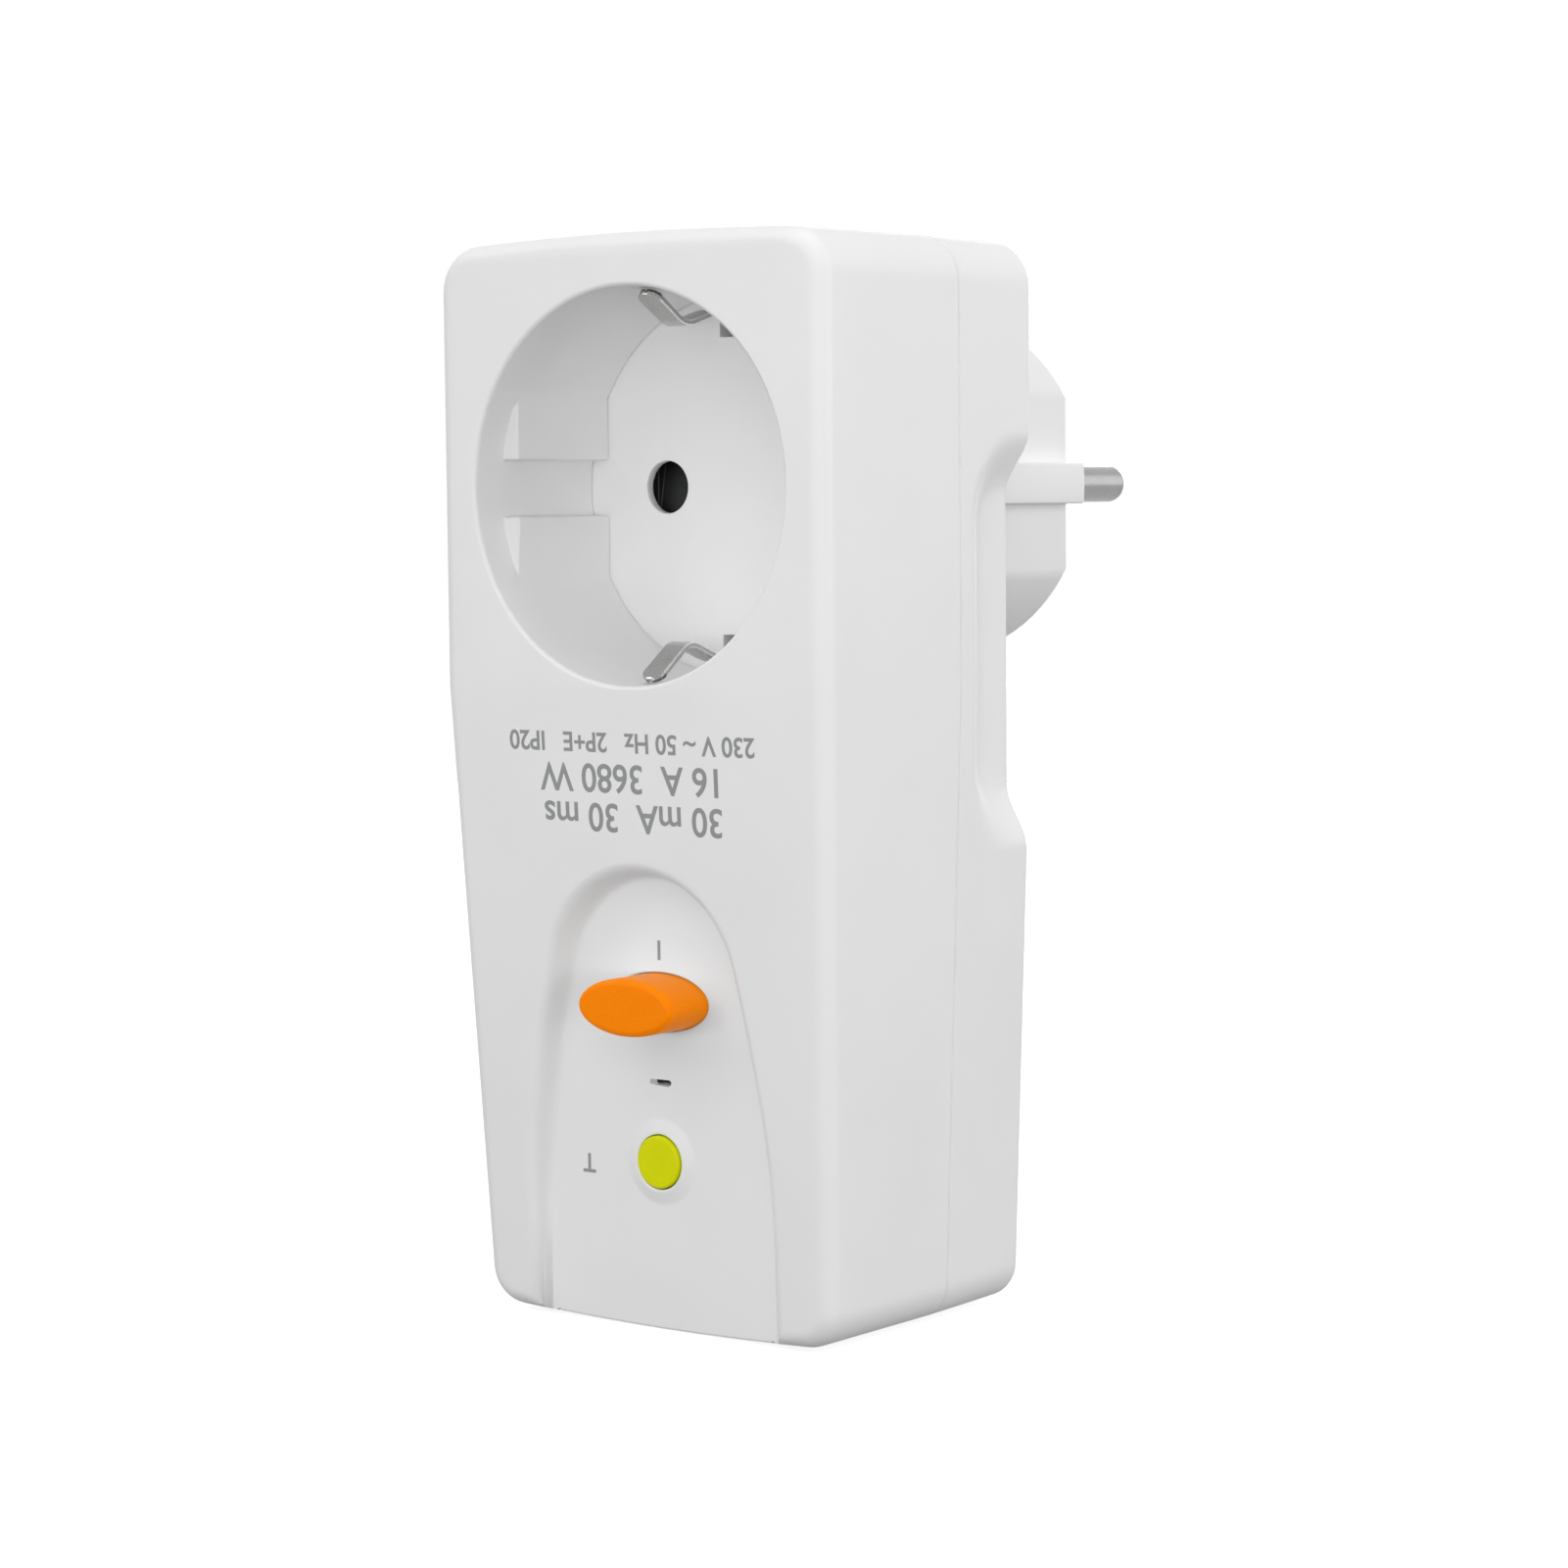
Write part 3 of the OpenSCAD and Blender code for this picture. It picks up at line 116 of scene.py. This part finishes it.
def addNode(tree, kind, settings=None, links=None):
    # settings: attributes, or input sockets by name or number; links: input socket -> output socket
    node = tree.nodes.new("ShaderNode" + kind)
    for key, value in (settings or {}).items():
        if isinstance(key, int) or key in node.inputs:
            node.inputs[key].default_value = value
        else:
            setattr(node, key, value)
    for key, output in (links or {}).items():
        tree.links.new(output, node.inputs[key])
    return node


def newMaterial(name):
    material = bpy.data.materials.new(name)
    material.use_nodes = True
    material.node_tree.nodes.clear()
    return material, material.node_tree


def perMetre(sizeMm):
    # texture scale for a pattern of this size, on Object coordinates in metres
    return 1 / (sizeMm * mm)


def grainHeight(tree, place, look):
    # fine grain, stretched along one axis where a look says so
    along = addNode(tree, "Mapping", {"Scale": look["stretch"]}, {"Vector": place})
    noise = addNode(tree, "TexNoise", {"Scale": perMetre(look["grainMm"]), "Detail": grainDetail},
                    {"Vector": along.outputs["Vector"]})
    return noise.outputs["Fac"]


def turnsHeight(tree, place, look):
    # turns of wire side by side along the coil's axis; a wave's period is 2 pi / (20 x scale)
    scale = 2 * math.pi / 20 * perMetre(look["grainMm"])
    wave = addNode(tree, "TexWave", {"bands_direction": "Y", "Scale": scale}, {"Vector": place})
    return wave.outputs["Fac"]


def spokesHeight(tree, place, look):
    # turns of wire laid round a ring, so they run like spokes round its upright axis
    low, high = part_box("transformer_winding")
    middle = addNode(tree, "Mapping", {"Location": (0, -(low.y + high.y) / 2, 0)}, {"Vector": place})
    angle = addNode(tree, "TexGradient", {"gradient_type": "RADIAL"}, {"Vector": middle.outputs["Vector"]})
    count = math.pi * (high.x - low.x) / (look["grainMm"] * mm)
    turns = addNode(tree, "Math", {"operation": "MULTIPLY", 1: 2 * math.pi * round(count)},
                    {0: angle.outputs["Fac"]})
    return addNode(tree, "Math", {"operation": "SINE"}, {0: turns.outputs[0]}).outputs[0]


def tracksHeight(tree, place, look):
    # copper tracks that stand out under the solder resist
    flat = addNode(tree, "Mapping", {"Rotation": (math.radians(90), 0, 0)}, {"Vector": place})
    bricks = addNode(tree, "TexBrick", {"Scale": perMetre(look["trackMm"]), "Mortar Size": look["trackWide"]},
                     {"Vector": flat.outputs["Vector"]})
    return bricks.outputs["Fac"]


heightOf = {"grain": grainHeight, "turns": turnsHeight, "spokes": spokesHeight, "tracks": tracksHeight}


def makeFinish(name, look):
    material, tree = newMaterial(name)
    place = addNode(tree, "TexCoord").outputs["Object"]
    height = heightOf[look["pattern"]](tree, place, look)
    cloud = addNode(tree, "TexNoise", {"Scale": perMetre(look["cloudMm"]), "Detail": cloudDetail},
                    {"Vector": place})
    # on the coils the tone follows the turns and paints shade in the grooves between them; on the board it is the
    # lighter resist over the tracks
    tone = height if look["toneFromHeight"] else cloud.outputs["Fac"]
    colour = addNode(tree, "ValToRGB", links={"Fac": tone})
    for stop, key, at in zip(colour.color_ramp.elements, ("dark", "pale"), (noiseLow, noiseHigh)):
        stop.color = linear(look[key])
        stop.position = at
    shown = colour.outputs["Color"]
    if "bounce" in look:
        # what it throws on the white round it stays neutral
        path = addNode(tree, "LightPath")
        shown = addNode(tree, "MixRGB", {"Color2": linear(look["bounce"])},
                        {"Fac": path.outputs["Is Diffuse Ray"], "Color1": shown}).outputs["Color"]
    rough = addNode(tree, "MapRange", {
        "From Min": noiseLow, "From Max": noiseHigh,
        "To Min": look["roughness"] - look["roughSpread"], "To Max": look["roughness"] + look["roughSpread"],
    }, {"Value": height})
    bump = addNode(tree, "Bump", {"Strength": look["bump"], "Distance": look["deepMm"] * mm}, {"Height": height})
    shader = addNode(tree, "BsdfPrincipled", {"Metallic": look["metallic"]}, {
        "Base Color": shown, "Roughness": rough.outputs["Result"], "Normal": bump.outputs["Normal"],
    })
    if not look["metallic"]:
        shader.inputs["IOR"].default_value = look["ior"]
        shader.inputs["Specular IOR Level"].default_value = look["gloss"]
    if "through" in look:
        # light goes in, spreads and comes out again
        shader.inputs["Subsurface Weight"].default_value = look["through"]["share"]
        shader.inputs["Subsurface Radius"].default_value = look["through"]["redGreenBlue"]
        shader.inputs["Subsurface Scale"].default_value = look["through"]["farMm"] * mm
    if "paintedGlow" in look:
        # a faint glow painted in as emission, so the orange is brighter than the lamps alone make it
        tree.links.new(shown, shader.inputs["Emission Color"])
        shader.inputs["Emission Strength"].default_value = look["paintedGlow"]
    addNode(tree, "OutputMaterial", links={"Surface": shader.outputs[0]})
    return material


# moulded thermoplastic: satin, a faint cloudiness and the fine grain of a spark-eroded mould,
# which is drawn a little coarser than it is so that it shows
plastic = {
    "pattern": "grain", "toneFromHeight": False, "stretch": (1, 1, 1), "metallic": 0.0, "ior": 1.53, "gloss": 0.5,
    "cloudMm": 14, "grainMm": 0.3, "deepMm": 0.02, "bump": 0.12, "roughness": 0.45, "roughSpread": 0.04,
}
# sheet or drawn metal: fine lines from rolling, a slightly uneven tone
metal = {
    "pattern": "grain", "toneFromHeight": False, "stretch": (1, 0.15, 1), "metallic": 1.0,
    "cloudMm": 3, "grainMm": 0.12, "deepMm": 0.003, "bump": 0.1, "roughness": 0.27, "roughSpread": 0.04,
}
finishes = {
    # shells: an even satin white, whose form shows by shading alone
    "whiteAbs": {**plastic, "pale": "#F6F6F6", "dark": "#F3F3F3"},
    # floor of the cup: a denser, cleaner white
    "whiteUrea": {**plastic, "pale": "#F8F8F8", "dark": "#F5F5F5"},
    # reset button: a strong matt orange with a fine speckle, soft at its edges as light spreads inside it, with a
    # faint painted glow
    "orangeAbs": {
        **plastic, "pale": "#FF8B00", "dark": "#FC8300", "cloudMm": 0.25, "gloss": 0.06, "bump": 0.2,
        "bounce": "#C8C8C8", "paintedGlow": 0.16,
        "through": {"share": 0.5, "redGreenBlue": (1.0, 0.5, 0.05), "farMm": 0.8},
    },
    # test button: a clear yellow-green, nearly matt
    "limeAbs": {**plastic, "pale": "#E9ED00", "dark": "#E3E700", "cloudMm": 2, "gloss": 0.12},
    # inner mouldings: a warm, dull off-white
    "ivoryNylon": {**plastic, "pale": "#E6DFCB", "dark": "#DED6C0", "roughness": 0.5},
    # cases of chips and switch: near black with a weak sheen
    "blackPhenolic": {**plastic, "pale": "#1E1E1F", "dark": "#161617", "roughness": 0.45},
    # shutter and plunger: a duller black, dark behind the pin holes
    "blackNylon": {**plastic, "pale": "#161718", "dark": "#101112", "roughness": 0.5},
    # potted capacitor: a smooth amber yellow case
    "yellowFilm": {**plastic, "pale": "#E3B52A", "dark": "#D9AA1F", "roughness": 0.3},
    # dipped varistor: a glossy deep blue
    "blueEpoxy": {**plastic, "pale": "#2C4B9C", "dark": "#23408C", "roughness": 0.25},
    # pad-printed marks: a flat mid grey
    "greyInk": {**plastic, "pale": "#97989A", "dark": "#8E8F91", "roughness": 0.55, "bump": 0.05},
    # circuit board: shiny green, lighter over the raised tracks
    "solderResist": {
        **plastic, "pattern": "tracks", "toneFromHeight": True, "trackMm": 4, "trackWide": 0.06,
        "pale": "#2A8A55", "dark": "#1B6B40", "roughness": 0.3, "bump": 0.5, "deepMm": 0.05,
    },
    # earth clips and strips: a pale satin silver
    "nickelPlate": {**metal, "pale": "#C2C2C1", "dark": "#BCBCBB", "bump": 0.01, "roughSpread": 0.015},
    # edges of the clips: a near-white metal that paints a highlight along their bevels
    "paintedEdgeHighlight": {**metal, "pale": "#FAFAFA", "dark": "#F6F6F6", "bump": 0.0, "roughness": 0.28},
    # solid plug pins: a duller, greyer plate
    "pinPlate": {**metal, "pale": "#9E9E9E", "dark": "#989898", "bump": 0.01, "roughSpread": 0.015},
    # sleeves of the socket: bright yellow metal
    "stampedBrass": {**metal, "pale": "#D6B25A", "dark": "#C9A44C"},
    # busbars and bridges: warm bare copper
    "rolledCopper": {**metal, "pale": "#D08A60", "dark": "#C27C54"},
    # magnet coil: enamelled turns side by side, with painted shade in the grooves between them
    "coilWire": {
        **metal, "pattern": "turns", "toneFromHeight": True, "pale": "#C0703A", "dark": "#6E3616",
        "grainMm": 0.35, "bump": 1.0, "deepMm": 0.15,
    },
    # transformer winding: the same wire, laid round the ring, with the same painted shade between its turns
    "ringWire": {
        **metal, "pattern": "spokes", "toneFromHeight": True, "pale": "#C0703A", "dark": "#6E3616",
        "grainMm": 0.45, "bump": 1.0, "deepMm": 0.15,
    },
    # springs: drawn wire, a mid grey gleam
    "springSteel": {**metal, "pale": "#A9A9A9", "dark": "#9C9C9D"},
    # screws: a cool bluish silver
    "zincPlate": {**metal, "pale": "#B8BBC0", "dark": "#A6ABB2"},
    # core, yoke and armature: dark dull iron
    "softIron": {**metal, "pale": "#70747A", "dark": "#62666C", "roughness": 0.45},
}
materials = {name: makeFinish(name, look) for name, look in finishes.items()}
print("materials:", len(materials))


# Pieces: merged copies of the solids, with softened edges and smooth faces
# edgeMm is the width of a softened edge, which may run on past its neighbours where tight is off;
# edges inside the asCut boxes, in mm, stay sharp: the groove between the shells and the ends of the panel's slopes
seam = {"y": -32.05, "nearMm": 0.005, "box": ((-25, -32.4, -85), (25, -31.7, 26))}
slopeEnds = [((-17, -52, -85), (-13.5, -49, -82)), ((13.5, -52, -85), (17, -49, -82))]
pieces = {
    "frontShell": {"node": "front_housing", "finish": "whiteAbs", "edgeMm": 0.25, "tight": False,
                   "asCut": [seam["box"], *slopeEnds], "apartMm": -0.02},
    "rearShell": {"node": "rear_housing", "finish": "whiteAbs", "edgeMm": 0.2, "tight": False,
                  "asCut": [seam["box"]], "apartMm": 0.09},
    "cupFloor": {"node": "socket_insert", "finish": "whiteUrea", "edgeMm": 0.12},
    # the bevels of the clips take a near-white finish that paints a highlight along them
    "earthClips": {"node": "socket_earth_strap", "finish": "nickelPlate", "edgeMm": 0.14, "tight": False,
                   "edgeFinish": "paintedEdgeHighlight"},
    "sideEarthStrips": {"node": "plug_earth_contacts", "finish": "nickelPlate", "edgeMm": 0.15},
    "livePlugPin": {"node": "live_pin", "finish": "pinPlate", "edgeMm": 0.1},
    "neutralPlugPin": {"node": "neutral_pin", "finish": "pinPlate", "edgeMm": 0.1},
    "resetCap": {"node": "reset_button", "finish": "orangeAbs", "edgeMm": 0.1},
    "testCap": {"node": "test_button", "finish": "limeAbs", "edgeMm": 0.1},
    "caseScrews": {"node": "housing_screws", "finish": "zincPlate", "edgeMm": 0.12},
    "pinShutter": {"node": "shutter", "finish": "blackNylon", "edgeMm": 0.12},
    "shutterHairspring": {"node": "shutter_spring", "finish": "springSteel", "edgeMm": 0},
    "shutterWasher": {"node": "shutter_retainer", "finish": "springSteel", "edgeMm": 0.08},
    "earthLink": {"node": "earth_link", "finish": "nickelPlate", "edgeMm": 0.1},
    "liveSleeve": {"node": "live_socket_contact", "finish": "stampedBrass", "edgeMm": 0.1},
    "neutralSleeve": {"node": "neutral_socket_contact", "finish": "stampedBrass", "edgeMm": 0.1},
    "sleeveCarrier": {"node": "contact_carrier", "finish": "ivoryNylon", "edgeMm": 0.15},
    "carrierScrews": {"node": "carrier_screws", "finish": "zincPlate", "edgeMm": 0.12},
    "liveBusbar": {"node": "live_busbar", "finish": "rolledCopper", "edgeMm": 0.1},
    "neutralBusbar": {"node": "neutral_busbar", "finish": "rolledCopper", "edgeMm": 0.1},
    "ringCore": {"node": "transformer_core", "finish": "softIron", "edgeMm": 0.15},
    "ringWinding": {"node": "transformer_winding", "finish": "ringWire", "edgeMm": 0.3},
    "circuitBoard": {"node": "circuit_board", "finish": "solderResist", "edgeMm": 0.05},
    "controlChip": {"node": "control_chip", "finish": "blackPhenolic", "edgeMm": 0.12},
    "thyristor": {"node": "thyristor", "finish": "blackPhenolic", "edgeMm": 0.12},
    "chipResistors": {"node": "resistors", "finish": "blackPhenolic", "edgeMm": 0.06},
    "filmCapacitor": {"node": "capacitor", "finish": "yellowFilm", "edgeMm": 0.4},
    "discVaristor": {"node": "varistor", "finish": "blueEpoxy", "edgeMm": 0.3},
    "testSwitch": {"node": "test_switch", "finish": "blackPhenolic", "edgeMm": 0.12},
    "switchPlunger": {"node": "test_plunger", "finish": "blackNylon", "edgeMm": 0.12},
    "contactCarriage": {"node": "contact_carriage", "finish": "ivoryNylon", "edgeMm": 0.15},
    "liveBridge": {"node": "live_bridge", "finish": "rolledCopper", "edgeMm": 0.1},
    "neutralBridge": {"node": "neutral_bridge", "finish": "rolledCopper", "edgeMm": 0.1},
    "contactBase": {"node": "contact_base", "finish": "ivoryNylon", "edgeMm": 0.15},
    "resetSpring": {"node": "reset_spring", "finish": "springSteel", "edgeMm": 0},
    "magnetArmature": {"node": "armature", "finish": "softIron", "edgeMm": 0.12},
    "magnetYoke": {"node": "magnet_yoke", "finish": "softIron", "edgeMm": 0.12},
    "coilBobbin": {"node": "magnet_bobbin", "finish": "ivoryNylon", "edgeMm": 0.08},
    "magnetCoil": {"node": "magnet_coil", "finish": "coilWire", "edgeMm": 0},
}
shading = {"mergeMm": 0.002, "flatDegrees": 0.4, "sharpDegrees": 35, "sliverMm": 0.12, "segments": 2,
           "largeFaceWeight": 100}


def dress(name, piece, mesh):
    # object, material, body and slot of a finished mesh
    for polygon in mesh.polygons:
        polygon.use_smooth = piece.get("smooth", True)
    for finish in ("finish", "edgeFinish"):
        if finish in piece:
            mesh.materials.append(materials[piece[finish]])
    obj = bpy.data.objects.new(name, mesh)
    scene.collection.objects.link(obj)
    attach(obj, bodyOf[piece["node"]])
    return obj


def isCrisp(edge):
    # a real corner of the piece, not the side of a sliver that the meshing left on a rounding
    if edge.calc_face_angle(0) < math.radians(shading["sharpDegrees"]):
        return False
    return all(f.calc_area() / max(e.calc_length() for e in f.edges) > shading["sliverMm"] * mm
               for f in edge.link_faces)


def liesIn(edge, boxes):
    middle = (edge.verts[0].co + edge.verts[1].co) / 2 / mm
    return any(all(low[i] < middle[i] < high[i] for i in range(3)) for low, high in boxes)


def softCopy(name, piece):
    bm = bmesh.new()
    bm.from_mesh(frame["nodes"][piece["node"]].data)
    bmesh.ops.remove_doubles(bm, verts=bm.verts, dist=shading["mergeMm"] * mm)
    bmesh.ops.dissolve_limit(bm, angle_limit=math.radians(shading["flatDegrees"]), verts=bm.verts, edges=bm.edges)
    if piece["edgeMm"]:
        corners = [e for e in bm.edges if isCrisp(e) and not liesIn(e, piece.get("asCut", []))]
        bmesh.ops.bevel(bm, geom=corners, offset=piece["edgeMm"] * mm, segments=shading["segments"], profile=0.5,
                        affect="EDGES", material=1 if "edgeFinish" in piece else -1,
                        clamp_overlap=piece.get("tight", True))
    if "apartMm" in piece:
        # the shells stand a hair apart, which draws a fine line round the side
        for vertex in bm.verts:
            if abs(vertex.co.y - seam["y"] * mm) < seam["nearMm"] * mm:
                vertex.co.y += piece["apartMm"] * mm
    for edge in bm.edges:
        edge.smooth = not isCrisp(edge)
    mesh = bpy.data.meshes.new(name)
    bm.to_mesh(mesh)
    bm.free()
    obj = dress(name, piece, mesh)
    weighted = obj.modifiers.new("faceWeightedNormals", "WEIGHTED_NORMAL")
    weighted.weight = shading["largeFaceWeight"]
    weighted.keep_sharp = True
    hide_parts(piece["node"])
    return obj


dressed = {name: softCopy(name, piece) for name, piece in pieces.items()}
print("pieces:", len(dressed))


def squeezeSpring(obj):
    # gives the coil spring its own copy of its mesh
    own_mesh(obj)


squeezeSpring(dressed["resetSpring"])


# Printed marks, plain ratings and symbols that stand upside down as on the object
marks = {
    "node": "front_housing", "finish": "greyInk", "slot": "dark_plastic", "smooth": False,
    "thickMm": 0.03, "boldMm": 0.05,
    "capital": 0.7,      # height of a capital as a share of the font's size
    "frontY": -54.35 * mm, "panelY": -49.90 * mm,
    "bendZ": -19.8 * mm, "lean": 0.047,              # where the front starts to lean back, and its slope
    "lines": {
        "voltageMark": {"text": "230 V ~ 50 Hz   2P+E   IP20", "highMm": 1.9, "x": 0, "z": -25.0, "on": "front"},
        "currentMark": {"text": "16 A  3680 W", "highMm": 2.8, "x": 0, "z": -28.5, "on": "front"},
        "tripMark": {"text": "30 mA  30 ms", "highMm": 2.8, "x": 0, "z": -32.4, "on": "front"},
        "resetMark": {"text": "I", "highMm": 1.9, "x": 0, "z": -45.8, "on": "panel"},
        "testMark": {"text": "T", "highMm": 1.9, "x": -9.4, "z": -68.0, "on": "panel"},
    },
}


def printMark(name, line, m):
    curve = bpy.data.curves.new(name, "FONT")
    curve.body = line["text"]
    curve.align_x = "CENTER"
    curve.align_y = "CENTER"
    curve.size = line["highMm"] * mm / m["capital"]
    curve.extrude = m["thickMm"] / 2 * mm
    curve.offset = m["boldMm"] * mm
    written = bpy.data.objects.new(name, curve)
    scene.collection.objects.link(written)
    bpy.context.view_layer.update()
    mesh = bpy.data.meshes.new_from_object(written)
    bpy.data.objects.remove(written)
    bpy.data.curves.remove(curve)
    upright = Matrix.Rotation(math.radians(90), 4, "X")
    turned = Matrix.Rotation(math.radians(180), 4, "Y")
    mesh.transform(Matrix.Translation((line["x"] * mm, 0, line["z"] * mm)) @ turned @ upright)
    for vertex in mesh.vertices:
        # the front leans back below its bend, the panel stands straight
        back = m["lean"] * max(0, m["bendZ"] - vertex.co.z)
        vertex.co.y += m["frontY"] + back if line["on"] == "front" else m["panelY"]
    bm = bmesh.new()
    bm.from_mesh(mesh)
    bmesh.ops.remove_doubles(bm, verts=bm.verts, dist=shading["mergeMm"] * mm)
    bmesh.ops.recalc_face_normals(bm, faces=bm.faces)
    bm.to_mesh(mesh)
    bm.free()
    mesh.name = name
    dress(name, m, mesh)


for markName, markLine in marks["lines"].items():
    printMark(markName, markLine, marks)
print("marks:", len(marks["lines"]))


# Floor, background and light
stage = {
    "white": "#FFFFFF", "sky": 0.3, "floorHalf": 3.0, "floorSeen": "#C0C0C0", "floorLit": "#6E6E6E",
    "floorGlow": 0.85, "floorMirrored": 0.68,        # share of the floor's white that metal mirrors
}
# places and sizes in metres, power in watts, each aimed at the object's middle
lamps = {
    "sideSoftbox": {"place": (0.80, 0.10, 0.10), "size": (0.6, 0.45), "power": 2.2},
    "rearSoftbox": {"place": (0.50, 0.45, 0.15), "size": (0.6, 0.45), "power": 0.67},
    "backSoftbox": {"place": (-0.35, 0.60, 0.02), "size": (0.6, 0.45), "power": 2.4},
    "topSoftbox": {"place": (0.0, -0.05, 0.45), "size": (0.5, 0.5), "power": 0.77},
    "leftSoftbox": {"place": (-0.40, -0.45, 0.35), "size": (0.4, 0.4), "power": 0.70},
    "lowStrip": {"place": (0.05, -0.62, -0.02), "size": (1.1, 0.1), "power": 1.47},
    "rightStrip": {"place": (0.50, -0.42, -0.05), "size": (0.5, 0.06), "power": 0.42},
    "frontFill": {"place": (0.14, -0.26, 0.11), "size": (0.15, 0.15), "power": 0.08},
}


def raysOf(tree, shares):
    # the share set for the kind of ray that arrives, 0 for a kind not named
    path = addNode(tree, "LightPath")
    total = None
    for kind, share in shares.items():
        arrives = path.outputs["Is %s Ray" % kind]
        part = addNode(tree, "Math", {"operation": "MULTIPLY", 1: share}, {0: arrives}).outputs[0]
        if total is not None:
            part = addNode(tree, "Math", {"operation": "MAXIMUM"}, {0: total, 1: part}).outputs[0]
        total = part
    return total


def makeWorld(s):
    world = bpy.data.worlds.new("studio")
    scene.world = world
    world.use_nodes = True
    tree = world.node_tree
    tree.nodes.clear()
    sky = addNode(tree, "Background", {"Color": linear(s["white"]), "Strength": s["sky"]})
    white = addNode(tree, "Background", {"Color": linear(s["white"]), "Strength": 1.0})        # 1 shows as white
    plain = raysOf(tree, {"Camera": 1, "Glossy": 1, "Transmission": 1})
    mix = addNode(tree, "MixShader", links={0: plain, 1: sky.outputs[0], 2: white.outputs[0]})
    addNode(tree, "OutputWorld", links={"Surface": mix.outputs[0]})


def makeFloor(s):
    bm = bmesh.new()
    bmesh.ops.create_grid(bm, x_segments=1, y_segments=1, size=s["floorHalf"])
    bmesh.ops.translate(bm, verts=bm.verts, vec=(0, 0, cadBox[0][2]))
    mesh = bpy.data.meshes.new("floor")
    bm.to_mesh(mesh)
    bm.free()
    # seen as white paper that keeps the shadow, while it throws back less light than it shows
    material, tree = newMaterial("whitePaper")
    lit = addNode(tree, "BsdfDiffuse", {"Color": linear(s["floorLit"])})
    seen = addNode(tree, "BsdfDiffuse", {"Color": linear(s["floorSeen"])})
    glow = addNode(tree, "Emission", {"Color": linear(s["white"]), "Strength": s["floorGlow"]})
    both = addNode(tree, "AddShader", links={0: seen.outputs[0], 1: glow.outputs[0]})
    plain = raysOf(tree, {"Camera": 1, "Glossy": s["floorMirrored"], "Transmission": 1})
    mix = addNode(tree, "MixShader", links={0: plain, 1: lit.outputs[0], 2: both.outputs[0]})
    addNode(tree, "OutputMaterial", links={"Surface": mix.outputs[0]})
    mesh.materials.append(material)
    floor = bpy.data.objects.new("floor", mesh)
    scene.collection.objects.link(floor)


def makeLamp(name, lamp):
    data = bpy.data.lights.new(name, "AREA")
    data.shape = "RECTANGLE"
    data.size, data.size_y = lamp["size"]
    data.energy = lamp["power"]
    obj = bpy.data.objects.new(name, data)
    scene.collection.objects.link(obj)
    place = Vector(lamp["place"])
    aim = (Vector(cadBox[0]) + Vector(cadBox[1])) / 2 - place
    obj.matrix_world = Matrix.Translation(place) @ aim.to_track_quat("-Z", "Y").to_matrix().to_4x4()


makeWorld(stage)
makeFloor(stage)
for lampName, lampSettings in lamps.items():
    makeLamp(lampName, lampSettings)
print("stage set")
